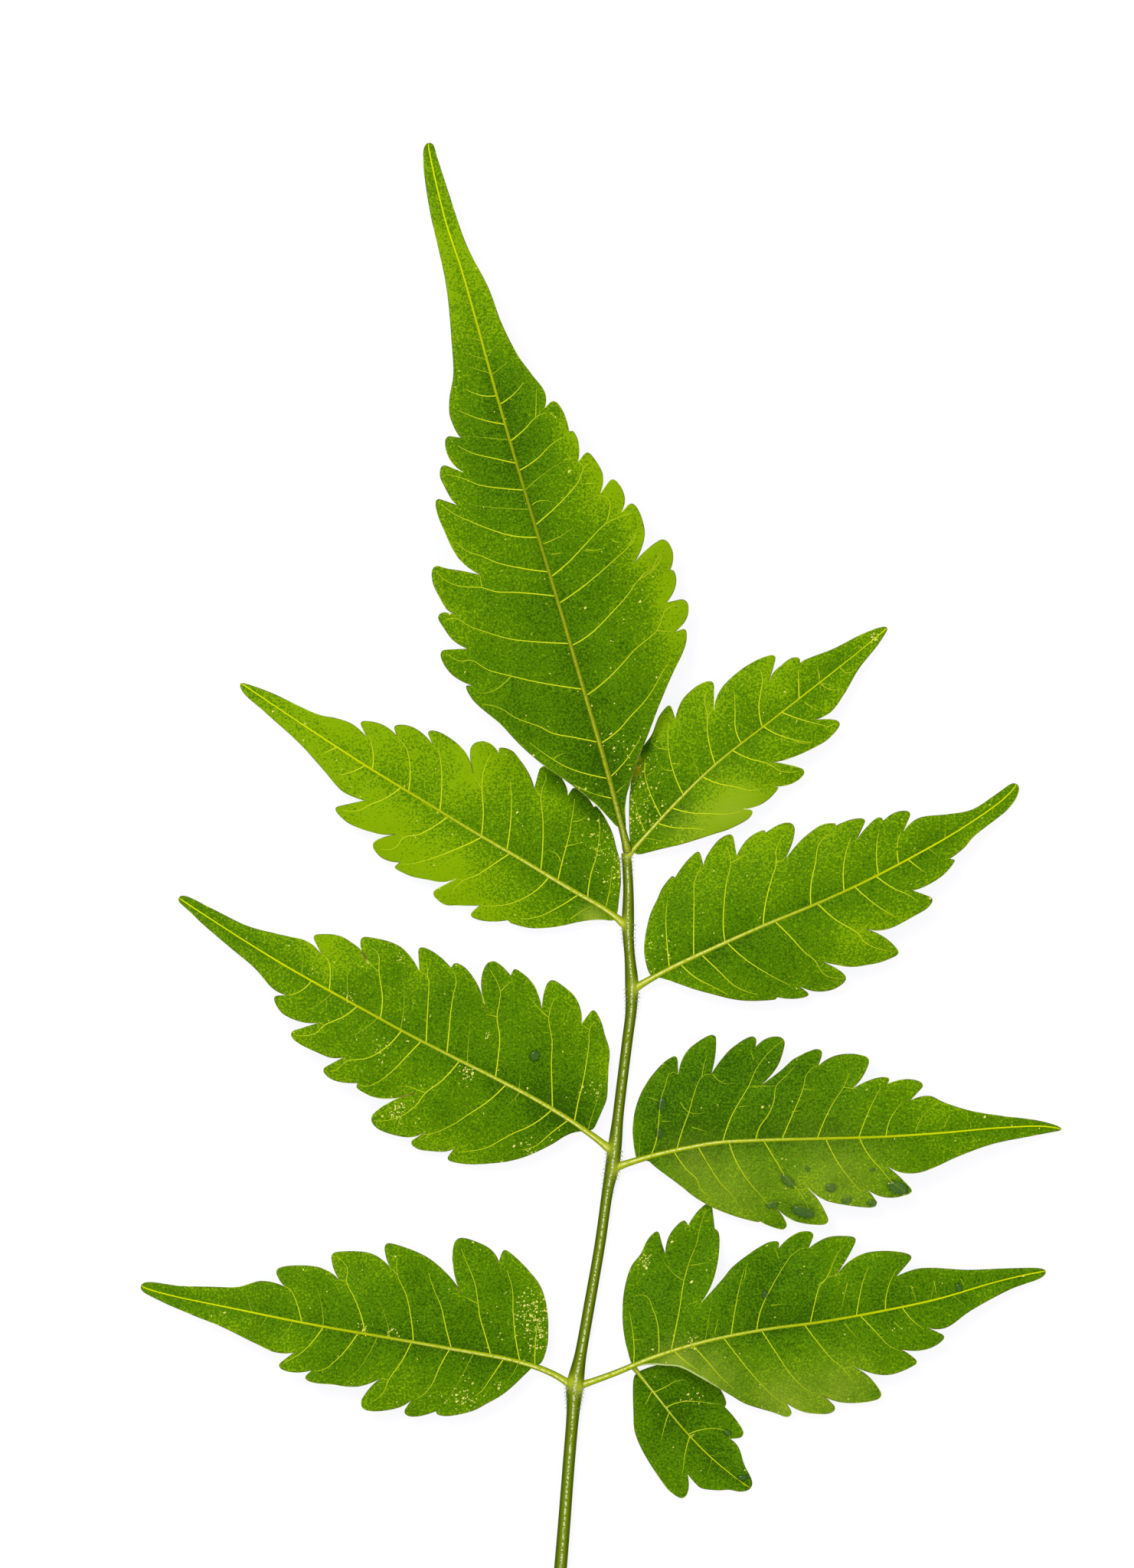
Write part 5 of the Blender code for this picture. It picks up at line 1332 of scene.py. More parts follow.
@dataclass(frozen=True)
class GreenBark:
    """The young main stalk: green bark with dark flanks and a groove that fine pale down fills.

    Places across run from 0 in the middle to 1 at either side, and heights from 0 there to 1 on top.
    The pairs are where a soft step starts and ends, and the sizes are in millimetres.
    """
    edge: str = "#403c08"
    flank: str = "#475a00"
    shoulder: str = "#6f8600"
    down: str = "#dcdcb4"
    knot: str = "#b4c22a"
    shoulder_reach: tuple = (0.80, 0.30)
    edge_reach: tuple = (0.93, 0.99)
    stripe_reach: tuple = (0.25, 0.08)
    stripe_edge: tuple = (0.42, 0.56)
    stripe_height: tuple = (0.0, 0.5)
    speckle_size: float = 0.22
    speckle_detail: float = 1.0
    speckle_depth: float = 0.04
    roughness: float = 0.6
    specular: float = 0.03

    def material(self) -> bpy.types.Material:
        """Return the material of the stalk.

        Returns:
            The material, whose stripe of down breaks up into speckles.
        """
        graph = Graph("neem_stalk_green_bark")
        speckle = graph.noise(self.speckle_size, self.speckle_detail)
        across = graph.work("ABSOLUTE", graph.attribute("across"))
        colour = graph.mix(graph.ramp(across, *self.shoulder_reach), linear(self.flank),
                           linear(self.shoulder))
        colour = graph.mix(graph.ramp(across, *self.edge_reach), colour, linear(self.edge))
        stripe = graph.times(graph.ramp(across, *self.stripe_reach), graph.ramp(speckle, *self.stripe_edge))
        stripe = graph.times(stripe, graph.ramp(graph.attribute("lift"), *self.stripe_height))
        colour = graph.mix(graph.attribute("near_joint"), colour, linear(self.knot))
        colour = graph.mix(stripe, colour, linear(self.down))
        return graph.finish(colour, self.roughness, self.specular, speckle, self.speckle_depth)


@dataclass(frozen=True)
class StillWater:
    """A drop of clean water: clear, so the blade shows through it, deeper green as any wet leaf is.

    Its smooth skin mirrors the lamps in small bright spots.
    """
    wet_green: str = "#266000"
    shows: float = 0.42
    skin_share: float = 1.0
    skin_bending: float = 1.55
    skin_roughness: float = 0.03
    roughness: float = 0.15
    specular: float = 0.15

    def material(self) -> bpy.types.Material:
        """Return the material of the drops.

        Returns:
            A material that lets most of the light straight through.
        """
        graph = Graph("water_clear")
        graph.shader.inputs["Alpha"].default_value = self.shows
        graph.shader.inputs["Coat Weight"].default_value = self.skin_share
        graph.shader.inputs["Coat Roughness"].default_value = self.skin_roughness
        graph.shader.inputs["Coat IOR"].default_value = self.skin_bending
        return graph.finish(linear(self.wet_green), self.roughness, self.specular)


@dataclass(frozen=True)
class PlantHair:
    """Plant down: fine dry hairs without colour of their own, so they look whitish and matt."""
    dry: str = "#d5dcb4"
    roughness: float = 0.7
    specular: float = 0.1

    def material(self) -> bpy.types.Material:
        """Return the material of the down."""
        return Graph("plant_down_dry").finish(linear(self.dry), self.roughness, self.specular)


@dataclass(frozen=True)
class RibForm:
    """The form of a midrib, in millimetres and in shares of its length and of its width.

    It flares by a share at the joint, tapers by a share towards the tip, sinks into the blade and
    grows flatter over a stretch, and closes over its last bit. The blade that it runs through is taken
    to be as thick as off_rim inside the margin.
    """
    embed: float = 0.6
    short_of_tip: float = 0.3
    sides: int = 16
    flare: float = 0.30
    flare_reach: float = 0.8
    taper: float = 0.76
    taper_power: float = 0.8
    sinks_from: float = 2.0
    sinks_over: float = 3.0
    flatter: float = 0.4
    off_rim: float = 1.0
    closes_at: float = 1.01
    closes_over: float = 0.02
    joint_reach: float = 1.1


@dataclass(frozen=True)
class VeinForm:
    """The form of the side veins, in millimetres and in shares of their own width.

    Faintness is 0 for a main vein and rises to 1.4 for the finest threads. It makes a vein narrower
    and duller, and so does a leaflet's own share of dull veins. The finest threads leave a vein at
    thread_angles, in degrees, thread_start of its points or more from either end.
    """
    half_width: float = 0.092
    height: float = 0.6
    sides: int = 6
    end_width: float = 0.45
    faint_narrower: float = 0.38
    dull_narrower: float = 0.6
    faint_duller: float = 0.7
    end_duller: float = 0.5
    side_vein: float = 0.0
    faint_vein: float = 1.0
    branch: float = 0.6
    fine_thread: float = 1.4
    thread_gap: float = 2.1
    thread_start: int = 2
    thread_angles: tuple = (48, 82)
    thread_length: float = 1.7
    thread_lengths: tuple = (0.5, 1.2)
    thread_points: int = 6
    thread_bend: float = 0.16


@dataclass(frozen=True)
class DropForm:
    """The form of the drops and of the narrow shade about each, in shares of the drop's own size.

    The pole is the fall of the first ring, in radians. The shade and the light inside it are changes
    of the blade's tone, and the ovals are rings of points that the blade's net runs through.
    """
    flatness: float = 0.36
    rings: int = 15
    sides: int = 28
    pole: float = 0.02
    ovals: tuple = (0.7, 0.9, 1.1, 1.35)
    oval_corners: int = 20
    shade: float = 0.42
    shade_reach: float = 0.18
    inner_light: float = 0.06
    inner: float = 0.8


@dataclass
class LeafletPieces:
    """One leaflet: its blade, its midrib with the short stalk, its side veins and its drops.

    Lengths are in millimetres. Shades and lights are added to the blade's tone, which runs from
    0 at the deepest green to 1 at the lightest.
    """
    dressing: Dressing
    blade_finish: bpy.types.Material
    vein_finish: bpy.types.Material
    water_finish: bpy.types.Material
    inner_thickness: float = 0.30
    rim_thickness: float = 0.12
    rim_reach: float = 1.5
    quilt_rise: float = 0.10
    quilt_reach: float = 1.1
    spine_shade: float = 0.26
    spine_shade_reach: float = 2.2
    spine_shade_fade: float = 0.5
    rim_light: float = 0.16
    rim_light_reach: float = 1.3
    rib_form: RibForm = RibForm()
    vein_form: VeinForm = VeinForm()
    drop_form: DropForm = DropForm()

    def __post_init__(self) -> None:
        """Work out the leaflet's lines once."""
        leaflet, veins = self.dressing.leaflet, self.vein_form
        self.leaflet = leaflet
        self.length = leaflet.midrib[-1][0]
        self.middle = smooth(leaflet.midrib, RIB_STEP)
        self.outline, self.fine_outline = (
            blunted(np.vstack((margin(leaflet.left, step), margin(leaflet.right, step)[-2:0:-1])))
            for step in (EDGE_STEP, NEAR_EDGE_STEP))
        self.threads = [(self.thread(vein), veins.side_vein) for vein in self.dressing.veins]
        self.threads += [(self.thread(vein), veins.faint_vein) for vein in self.dressing.faint_veins]
        self.threads += [(smooth(branch, GRID_STEP), veins.branch) for branch in self.dressing.branches]
        self.vein_points = np.vstack([line for line, _ in self.threads])
        self.threads += [(line, veins.fine_thread) for line in self.fine_threads()]

    def spine(self, x: np.ndarray) -> np.ndarray:
        """Return where the midrib lies across the leaflet at x."""
        return np.interp(x, self.middle[:, 0], self.middle[:, 1])

    def thread(self, vein: tuple) -> np.ndarray:
        """Return the line of a side vein that starts on the midrib."""
        start = (vein[0], float(self.spine(np.array(vein[0]))))
        return smooth((start,) + vein[1:], GRID_STEP)

    def fine_threads(self) -> list:
        """Return the finest threads, which leave each side vein by turns to its left and its right.

        A thread runs straight from the vein at a steep angle and bends off by the square of its length.
        The leaflet's length in tenths of a millimetre is the seed.

        Returns:
            The line of each thread that lies well inside the blade.
        """
        form = self.vein_form
        random = np.random.default_rng(round(10 * self.length))
        apart = round(form.thread_gap / GRID_STEP)
        lines = []
        for line, _ in self.threads:
            first = random.integers(form.thread_start, form.thread_start + apart)
            for number, index in enumerate(range(first, len(line) - form.thread_start, apart)):
                side = 1 if (number + len(lines)) % 2 else -1
                turn = side * math.radians(random.uniform(*form.thread_angles))
                ahead = line[index + 1] - line[index - 1]
                ahead = ahead / np.linalg.norm(ahead)
                away = np.array((ahead[0] * math.cos(turn) - ahead[1] * math.sin(turn),
                                 ahead[0] * math.sin(turn) + ahead[1] * math.cos(turn)))
                reach = form.thread_length * random.uniform(*form.thread_lengths)
                out = np.linspace(0, reach, form.thread_points)[:, None]
                lines.append(line[index] + away * out + ahead * form.thread_bend * out**2)
        whole = [np.all(inside(self.outline, line)) and distance(line, self.fine_outline).min() > NEXT_TO_EDGE
                 for line in lines]
        return [line for line, fits in zip(lines, whole) if fits]

    def level(self, x: np.ndarray, y: np.ndarray) -> np.ndarray:
        """Return how high the middle of the blade lies, by the same formula as in the solids.

        An arch runs from the joint to the tip. Across it the blade rises from the midrib to a
        shoulder, droops towards the margin and ripples along it, and never sinks into the surface.

        Args:
            x: places along the leaflet, in millimetres.
            y: the same places across it.

        Returns:
            The heights in millimetres.
        """
        leaflet = self.leaflet
        along = np.clip(x / self.length, 0.0, 1.0)
        level = leaflet.root_height * (1 - along) + TIP_HEIGHT * along
        level = level + 4 * leaflet.arch * along * (1 - along)
        across = np.abs(y - self.spine(x)) / leaflet.half_width
        level = level + SHOULDER_RISE * np.sin(math.pi * np.minimum(across, 1.0)) - leaflet.droop * across**2
        level = level + RIPPLE_RISE * across * np.sin(2 * math.pi * x / RIPPLE_LENGTH + np.sign(y))
        level = level + humps(x, y, leaflet.lift)
        return np.maximum(level, LOWEST_MIDDLE)

    def upper(self, flat: np.ndarray, rim: np.ndarray, vein: np.ndarray) -> np.ndarray:
        """Return the height of the upper face: the middle, half the thickness and the quilted rise."""
        quilt = self.quilt_rise * (1 - np.exp(-(vein / self.quilt_reach)**2)) * np.minimum(rim, 1.0)
        return self.level(flat[:, 0], flat[:, 1]) + self.thickness(rim) / 2 + quilt

    def thickness(self, rim: np.ndarray) -> np.ndarray:
        """Return the thickness, which thins out in a straight line over the last bit to the rim."""
        return self.rim_thickness + (self.inner_thickness - self.rim_thickness) * np.minimum(
            rim / self.rim_reach, 1.0)

    def placed(self, points: np.ndarray) -> np.ndarray:
        """Turn and move points of the leaflet's frame into the shared frame, in millimetres.

        Args:
            points: one row of x, y and z for each point.

        Returns:
            As many rows in the shared frame.
        """
        joint, tip = np.array(self.leaflet.joint), np.array(self.leaflet.tip)
        heading = (tip - joint) / np.linalg.norm(tip - joint)
        turn = np.array([heading, (-heading[1], heading[0])])
        flat = points[:, :2] @ turn + joint - np.array(SPOT_CENTRE)
        return np.column_stack((flat, points[:, 2]))

    def clear(self, points: np.ndarray, gap: float, rib: np.ndarray | None = None) -> np.ndarray:
        """Return the points that lie inside the blade and clear of its margin, and of the rib if given.

        Args:
            points: one row of x and y for each point.
            gap: how far off the margin and the rib they have to be, in millimetres.
            rib: the points of the rib, if it counts too.

        Returns:
            The rows that stay.
        """
        points = points[inside(self.outline, points)]
        others = self.fine_outline if rib is None else np.vstack((self.fine_outline, rib))
        return points[distance(points, others) > gap] if len(points) else points

    def blade(self) -> tuple:
        """Return the blade: two faces over one net of triangles, joined by a narrow rim.

        The net runs through the outline, a ring just inside it, the midrib, ovals about the drops and
        an even grid of points staggered from row to row. Its height is the formula of the method upper.

        Returns:
            The vertices, the faces and the values that the finish reads.
        """
        towards = np.roll(self.outline, -1, axis=0) - np.roll(self.outline, 1, axis=0)
        towards = towards / np.maximum(np.linalg.norm(towards, axis=1), SAME_POINT)[:, None]
        ring = self.outline + NEXT_TO_EDGE * np.column_stack((towards[:, 1], -towards[:, 0]))
        ring = self.clear(ring, RING_CLEARANCE)
        rib = self.clear(self.middle, NEXT_TO_EDGE)
        columns = np.arange(0, self.length, GRID_STEP)
        rows = np.arange(-WIDEST, WIDEST, GRID_STEP * math.sqrt(3) / 2)
        x, y = np.meshgrid(columns, rows)
        x = x + (np.arange(len(rows)) % 2 * GRID_STEP / 2)[:, None]
        grid = self.clear(np.column_stack((x.ravel(), y.ravel())), GRID_CLEARANCE, rib)
        ovals = np.vstack([self.round_drops(reach) for reach in self.drop_form.ovals])
        ovals = self.clear(ovals, NEXT_TO_EDGE)
        points = np.vstack((self.outline, rib, ring, ovals, grid))
        count = len(self.outline)
        edges = [(i, (i + 1) % count) for i in range(count)]
        edges += [(count + i, count + i + 1) for i in range(len(rib) - 1)]
        flat, _, triangles, *_ = delaunay_2d_cdt(points.tolist(), edges, [], INSIDE_ONLY, SAME_POINT)
        flat = np.array([tuple(corner) for corner in flat])
        return self.two_faced(flat, np.array(triangles))

    def two_faced(self, flat: np.ndarray, triangles: np.ndarray) -> tuple:
        """Give the flat net its upper face, its lower face and its rim.

        Args:
            flat: x and y of the net's points.
            triangles: three points for each triangle, turning to the left.

        Returns:
            The vertices, the faces and the values that the finish reads.
        """
        x, y = flat[:, 0], flat[:, 1]
        rim = distance(flat, self.fine_outline)
        vein = np.minimum(distance(flat, self.vein_points), np.abs(y - self.spine(x)))
        upper = self.upper(flat, rim, vein)
        lower = upper - self.thickness(rim)
        count = len(flat)
        sides = np.vstack((triangles[:, [0, 1]], triangles[:, [1, 2]], triangles[:, [2, 0]]))
        keys = sides.min(axis=1) * count + sides.max(axis=1)
        _, where, times = np.unique(keys, return_index=True, return_counts=True)
        border = sides[where[times == 1]]
        walls = np.column_stack((border[:, 0], border[:, 0] + count, border[:, 1] + count, border[:, 1]))
        faces = triangles.tolist() + (triangles[:, ::-1] + count).tolist() + walls.tolist()
        vertices = self.placed(np.vstack((np.column_stack((flat, upper)), np.column_stack((flat, lower)))))
        values = {name: np.tile(numbers, 2) for name, numbers in self.looks(flat, rim).items()}
        values["under"] = np.repeat((0.0, 1.0), count)
        return vertices, faces, values

    def looks(self, flat: np.ndarray, rim: np.ndarray) -> dict[str, np.ndarray]:
        """Return the values that the blade's finish reads, but for its side.

        The tone is darker beside the midrib, the more so near the joint, and lighter towards the rim:
        each by e to the minus distance over its reach.

        Args:
            flat: x and y of the net's points.
            rim: how far each is from the margin.

        Returns:
            A number for each point under each value's name.
        """
        dressing = self.dressing
        x, y = flat[:, 0], flat[:, 1]
        spine = np.abs(y - self.spine(x))
        shade = self.spine_shade * np.exp(-spine / self.spine_shade_reach)
        # The tone carries painted light and shade: the washes, the painted shade beside the midrib and the
        # lighter rim
        tone = (dressing.tone - shade * (1 - self.spine_shade_fade * x / self.length)
                + self.rim_light * np.exp(-rim / self.rim_light_reach)
                + humps(x, y, dressing.painted_light_and_tone) + self.beside_drops(flat))
        # pale carries the painted sheen, and lit the painted highlights on the rim
        clipped = {"pale": dressing.pale, "scar": dressing.scars, "lit": dressing.lit_rims}
        values = {name: np.clip(humps(x, y, places), 0, 1) for name, places in clipped.items()}
        fleck = FLECKS_EVERYWHERE + humps(x, y, dressing.flecks)
        return {"tone": tone, "rim": rim} | values | {"fleck": fleck}

    def midrib(self) -> tuple:
        """Return the midrib: an oval that tapers along the blade, and flares where it meets the stalk.

        It stands out by six tenths of its half width above and below the blade that it runs through.

        Returns:
            The vertices, the faces and the values that the finish reads.
        """
        form = self.rib_form
        path = smooth(self.leaflet.midrib, RIB_STEP)
        path[-1, 0] -= form.short_of_tip
        back = path[0] - (path[1] - path[0]) / np.linalg.norm(path[1] - path[0]) * form.embed
        path = np.vstack((back, path))
        x = path[:, 0]
        reach = np.clip(x / x[-1], 0, 1)
        flare = 1 + form.flare * np.exp(-np.maximum(x, 0) / form.flare_reach)
        wide = self.leaflet.rib_radius * RIB_WIDER * (1 - form.taper * reach**form.taper_power) * flare
        in_blade = np.clip((x - form.sinks_from) / form.sinks_over, 0, 1)
        half_blade = self.thickness(np.full(len(x), form.off_rim)) / 2
        high = wide * (1 - form.flatter * in_blade) + half_blade * in_blade
        closing = np.minimum(1.0, (form.closes_at - reach) / form.closes_over)
        vertices, faces, values = tapered_tube(
            np.column_stack((path, self.level(x, path[:, 1]))), wide * closing, high * closing, form.sides)
        vertices[:, 2] = np.maximum(vertices[:, 2], 0.0)
        values["near_joint"] = np.exp(-values["along"] * x[-1] / form.joint_reach)
        return self.placed(vertices), faces, values

    def side_veins(self) -> tuple:
        """Return the side veins: ovals half sunk in the upper face, which taper towards the margin.

        Returns:
            The vertices, the faces and how faint each vertex is.
        """
        form, dull = self.vein_form, self.dressing.dull_veins
        shapes = []
        for line, faintness in self.threads:
            rim = distance(line, self.fine_outline)
            z = self.upper(line, rim, np.zeros(len(line)))
            reach = np.linspace(0, 1, len(line))
            wide = form.half_width * (1 - (1 - form.end_width) * reach)
            wide = wide * (1 - form.faint_narrower * faintness) * (1 - form.dull_narrower * dull)
            vertices, faces, values = tapered_tube(
                np.column_stack((line, z)), wide, form.height * wide, form.sides)
            faint = form.faint_duller * faintness + form.end_duller * values["along"]**2 + dull
            shapes.append((self.placed(vertices), faces, {"faint": np.clip(faint, 0, 1)}))
        return merged(shapes)

    def round_drops(self, reach: float) -> np.ndarray:
        """Return points on an oval about each drop.

        Args:
            reach: how many times as far out as the drop's edge the oval runs.

        Returns:
            One row of x and y for each point, or none where there are no drops.
        """
        corners = self.drop_form.oval_corners
        turn = np.arange(corners) * 2 * math.pi / corners
        ovals = [np.empty((0, 2))]
        for x, y, half_width, half_length, degrees in self.dressing.drops:
            ahead, aside = headings(degrees)
            ovals.append(np.array((x, y)) + reach * (
                half_length * np.cos(turn)[:, None] * ahead + half_width * np.sin(turn)[:, None] * aside))
        return np.vstack(ovals)

    def beside_drops(self, flat: np.ndarray) -> np.ndarray:
        """Return how much darker the blade is in the narrow shade that rings each drop.

        The shade is e to the minus squared distance from the drop's edge over its squared breadth,
        measured in parts of the drop's own size. Inside, the blade is a little lighter.

        Args:
            flat: x and y of the blade's points.

        Returns:
            What is added to the tone at each point.
        """
        form = self.drop_form
        shade = np.zeros(len(flat))
        for x, y, half_width, half_length, degrees in self.dressing.drops:
            ahead, aside = headings(degrees)
            away = flat - np.array((x, y))
            out = np.hypot(away @ ahead / half_length, away @ aside / half_width)
            shade = shade - form.shade * np.exp(-((out - 1.0) / form.shade_reach)**2)
            shade = shade + form.inner_light * (out < form.inner)
        return shade

    def drops(self) -> tuple:
        """Return the drops: squashed balls, each half in the upper face.

        At the fall b a ring stands half length times cos b from the drop's middle and is half width
        times sin b wide; it is a fixed share of that high.

        Returns:
            The vertices, the faces and no values.
        """
        form = self.drop_form
        shapes = []
        fall = np.linspace(form.pole, math.pi - form.pole, form.rings)
        for x, y, half_width, half_length, degrees in self.dressing.drops:
            spot = np.array([[x, y]])
            z = self.upper(spot, distance(spot, self.fine_outline), distance(spot, self.vein_points))[0]
            ahead = np.array((*headings(degrees)[0], 0.0))
            path = np.array((x, y, z)) + half_length * np.cos(fall)[:, None] * ahead
            wide = half_width * np.sin(fall)
            shapes.append((*tapered_tube(path, wide, wide * form.flatness, form.sides)[:2], {}))
        vertices, faces, _ = merged(shapes)
        return self.placed(vertices), faces, {}

    def build(self) -> None:
        """Build and dress all the pieces of the leaflet."""
        name = self.leaflet.name
        add_piece(name + "_blade", self.blade(), self.blade_finish, Slot.LEAFLET, name)
        rib_finish = FreshRib().material(name, self.leaflet is TERMINAL)
        add_piece(name + "_midrib", self.midrib(), rib_finish, Slot.LEAFLET)
        add_piece(name + "_veins", self.side_veins(), self.vein_finish, Slot.LEAFLET)
        if self.dressing.drops:
            add_piece(name + "_water_drops", self.drops(), self.water_finish, Slot.LEAFLET)


@dataclass
class MainStalk:
    """The main stalk: an oval, grooved on top, that swells and turns paler at each joint.

    Lengths are in millimetres and the groove's half angle is in radians.
    """
    step: float = 0.5
    sides: int = 40
    groove_depth: float = 0.10
    groove_half_angle: float = 0.30
    wider: float = 1.13
    joint_paleness: float = 0.85
    joint_reach: float = 0.9

    def profile(self, angle: np.ndarray) -> np.ndarray:
        """Return one less a narrow dip about the top: depth times e to the minus squared angle."""
        return 1 - self.groove_depth * np.exp(-((angle - math.pi / 2) / self.groove_half_angle)**2)

    def path(self) -> tuple[np.ndarray, np.ndarray]:
        """Lay the stalk low enough for one flat spot underneath.

        Returns:
            The stalk's middle line in the shared frame, and its radii.
        """
        path = smooth(STALK, self.step)
        centre = np.array(SPOT_CENTRE)
        away = np.linalg.norm(path[:, :2] - centre, axis=1)
        underside = STALK_CLEARANCE - (STALK_CLEARANCE + SPOT_DEPTH) * np.exp(-(away / SPOT_REACH)**2)
        return np.column_stack((path[:, :2] - centre, path[:, 2] + underside)), path[:, 2]

    def joints(self) -> np.ndarray:
        """Return where the side leaflets join the stalk, in the shared frame."""
        return np.array([leaflet.joint for leaflet in LEAFLETS[1:-1]]) - np.array(SPOT_CENTRE)

    def shape(self) -> tuple:
        """Return the stalk, and how near each of its vertices is to a joint.

        Returns:
            The vertices, the faces and the values that the finish reads.
        """
        middle, radius = self.path()
        vertices, faces, values = tapered_tube(middle, self.wider * radius, radius, self.sides, self.profile)
        vertices[:, 2] = np.maximum(vertices[:, 2], 0.0)
        away = distance(vertices[:, :2], self.joints())
        near = self.joint_paleness * np.exp(-(away / self.joint_reach)**2)
        return vertices, faces, values | {"near_joint": near}

    def build(self) -> None:
        """Build and dress the stalk."""
        add_piece("main_stalk", self.shape(), GreenBark().material(), Slot.STALK, "stalk")


@dataclass
class StalkDown:
    """The fine pale hairs of the main stalk: a row in its groove and a skirt below each joint.

    Lengths are in millimetres, angles in radians and leanings in shares of a hair's own length. A root
    stands at rooted times the skin's distance from the middle. Roots that point up or down by more than
    on_top stand where the stalk isn't widened.
    """
    in_groove: int = 900
    at_each_joint: int = 200
    skirt_length: float = 3.2
    hair_radius: float = 0.018
    groove_hair: tuple = (0.10, 0.20)
    skirt_hair: tuple = (0.25, 0.60)
    groove_spread: float = 0.09
    skirt_spread: float = 0.5
    groove_lean: float = 0.5
    groove_tousle: tuple = (0.5, 0.5, 0.15)
    skirt_lean: float = 0.8
    skirt_tousle: float = 0.3
    outward: float = 0.8
    rooted: float = 0.99
    on_top: float = 0.7
    seed: int = 7

    def hairs(self, roots: np.ndarray, heading: np.ndarray, length: np.ndarray) -> tuple:
        """Return a slender closed spike for each hair: three corners about its root, and its tip.

        Args:
            roots: where the hairs start, one row each.
            heading: the direction of each hair, of length one.
            length: how long each hair is.

        Returns:
            The vertices, the faces and no values.
        """
        turn = np.arange(3) * 2 * math.pi / 3
        across = unit(np.cross(heading, (0.0, 0.0, 1.0)) + (SAME_POINT, 0.0, 0.0))
        over = np.cross(across, heading)
        feet = roots[:, None] + self.hair_radius * (
            np.cos(turn)[None, :, None] * across[:, None] + np.sin(turn)[None, :, None] * over[:, None])
        tips = roots + heading * length[:, None]
        vertices = np.concatenate((feet, tips[:, None]), axis=1).reshape(-1, 3)
        vertices[:, 2] = np.maximum(vertices[:, 2], 0.0)
        faces = np.array(((0, 2, 1), (0, 1, 3), (1, 2, 3), (2, 0, 3)))
        return vertices, (faces + 4 * np.arange(len(roots))[:, None, None]).reshape(-1, 3).tolist(), {}

    def shape(self, stalk: MainStalk) -> tuple:
        """Return all the hairs, whose roots stand on the stalk's own surface.

        Args:
            stalk: the stalk that the hairs grow on.

        Returns:
            The vertices, the faces and no values.
        """
        random = np.random.default_rng(self.seed)
        middle, radius = stalk.path()
        heading = unit(np.gradient(middle, axis=0))
        left = np.column_stack((-heading[:, 1], heading[:, 0], np.zeros(len(middle))))
        up = np.array((0.0, 0.0, 1.0))
        joints = stalk.joints()
        at = random.integers(1, len(middle) - 1, self.in_groove)
        angle = random.normal(math.pi / 2, self.groove_spread, self.in_groove)
        lean = -self.groove_lean * heading[at] + random.normal(0, 1, (self.in_groove, 3)) * self.groove_tousle
        spans = [self.groove_hair]
        for joint in joints:
            away = np.linalg.norm(middle[:, :2] - joint, axis=1)
            drop = np.abs(random.normal(0, self.skirt_length / 2, self.at_each_joint))
            rows = np.clip(int(away.argmin()) - (drop / stalk.step).astype(int), 1, len(middle) - 2)
            side = random.choice((0.0, math.pi), self.at_each_joint)
            turn = side + random.normal(0, self.skirt_spread, self.at_each_joint)
            tousle = random.normal(0, self.skirt_tousle, (self.at_each_joint, 3))
            at = np.concatenate((at, rows))
            angle = np.concatenate((angle, turn))
            lean = np.vstack((lean, -self.skirt_lean * heading[rows] + tousle))
            spans.append(self.skirt_hair)
        out = left[at] * np.cos(angle)[:, None] + up * np.sin(angle)[:, None]
        width = radius[at] * stalk.profile(np.mod(angle, 2 * math.pi))
        width = width * np.where(np.abs(out[:, 2]) < self.on_top, stalk.wider, 1.0)
        roots = middle[at] + out * width[:, None] * self.rooted
        aim = unit(out * self.outward + lean)
        counts = [self.in_groove] + [self.at_each_joint] * len(joints)
        length = np.concatenate([random.uniform(*span, count) for span, count in zip(spans, counts)])
        return self.hairs(roots, aim, length)

    def build(self, stalk: MainStalk) -> None:
        """Build and dress the down."""
        add_piece("stalk_down", self.shape(stalk), PlantHair().material(), Slot.STALK)


@dataclass(frozen=True)
class Lamp:
    """A distant lamp: its name, its strength and how many degrees of the sky it takes up."""
    name: str
    strength: float
    spread: float


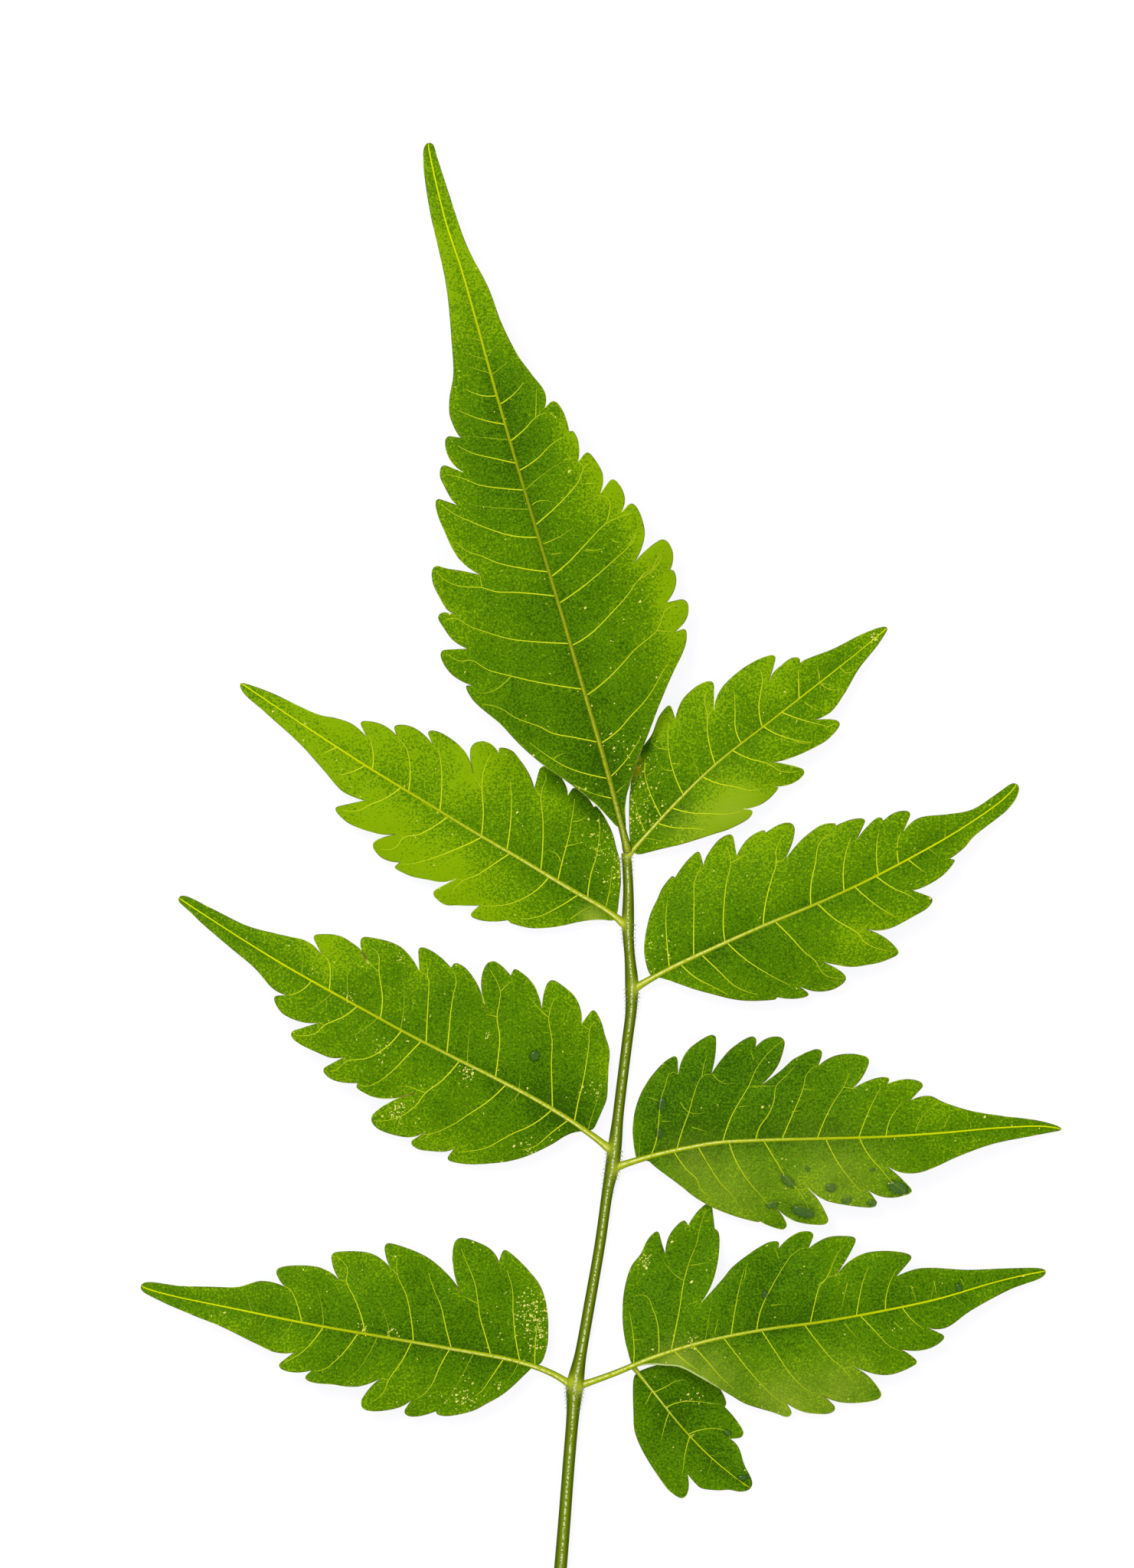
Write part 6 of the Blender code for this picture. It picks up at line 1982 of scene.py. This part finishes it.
@dataclass
class Studio:
    """A white lit table, soft light from all round, and a camera straight above.

    Lengths are in millimetres and angles in degrees, but what the camera sees starts and ends at
    nearest and farthest, in metres.
    """
    view_centre: tuple = (-6.78, 42.4)
    view_height: float = 204.8
    lens: float = 250.0
    sensor: float = 36.0
    nearest: float = 0.01
    farthest: float = 20.0
    table_half: float = 900.0
    table_white: str = "#74747a"
    table_light: str = "#fdfcff"
    table_glow: float = 0.87
    table_roughness: float = 0.8
    sky_white: str = "#ffffff"
    sky: float = 0.80
    lamps: tuple = (Lamp("large_lamp", 0.05, 40.0), Lamp("small_lamp", 0.26, 20.0))
    lamp_tilt: tuple = (-28.0, -24.0)

    def table(self) -> None:
        """Lay the white table, which glows a little, so that it shows hardly any shade."""
        half = self.table_half * MM
        mesh = bpy.data.meshes.new("table")
        corners = [(-half, -half, 0), (half, -half, 0), (half, half, 0), (-half, half, 0)]
        mesh.from_pydata(corners, [], [(0, 1, 2, 3)])
        graph = Graph("table_white_acrylic")
        graph.shader.inputs["Emission Color"].default_value = linear(self.table_light)
        graph.shader.inputs["Emission Strength"].default_value = self.table_glow
        mesh.materials.append(graph.finish(linear(self.table_white), self.table_roughness, 0.0))
        table = bpy.data.objects.new("table", mesh)
        bpy.context.scene.collection.objects.link(table)

    def light(self) -> None:
        """Light the scene with an even pale sky and two lamps to the upper left, a wide and a narrow one."""
        world = bpy.data.worlds.new("soft_sky")
        world.use_nodes = True
        world.node_tree.nodes["Background"].inputs["Color"].default_value = linear(self.sky_white)
        world.node_tree.nodes["Background"].inputs["Strength"].default_value = self.sky
        bpy.context.scene.world = world
        for lamp in self.lamps:
            data = bpy.data.lights.new(lamp.name, "SUN")
            data.energy = lamp.strength * math.pi
            data.angle = math.radians(lamp.spread)
            light = bpy.data.objects.new(lamp.name, data)
            light.rotation_euler = (*(math.radians(tilt) for tilt in self.lamp_tilt), 0.0)
            bpy.context.scene.collection.objects.link(light)

    def camera(self) -> None:
        """Put the camera as far up as its long lens needs to see the photo's frame."""
        data = bpy.data.cameras.new("camera")
        data.lens = self.lens
        data.sensor_width = self.sensor
        distance_up = self.view_height / 2 * self.lens / (self.sensor / 2)
        camera = bpy.data.objects.new("camera", data)
        camera.location = (self.view_centre[0] * MM, self.view_centre[1] * MM, distance_up * MM)
        data.clip_start = self.nearest
        data.clip_end = self.farthest
        bpy.context.scene.collection.objects.link(camera)
        bpy.context.scene.camera = camera

    def build(self) -> None:
        """Set up the table, the light and the camera."""
        self.table()
        self.light()
        self.camera()
        bpy.context.scene.view_settings.view_transform = "Standard"


def main() -> None:
    """Build the leaflets, the stalk and the studio."""
    logging.basicConfig(level=logging.INFO, format="%(name)s %(message)s")
    blade_finish = FreshBlade().material()
    vein_finish = FreshVein().material()
    water_finish = StillWater().material()
    for dressing in DRESSINGS:
        LeafletPieces(dressing, blade_finish, vein_finish, water_finish).build()
    stalk = MainStalk()
    stalk.build()
    StalkDown().build(stalk)
    Studio().build()


if __name__ == "__main__":
    main()
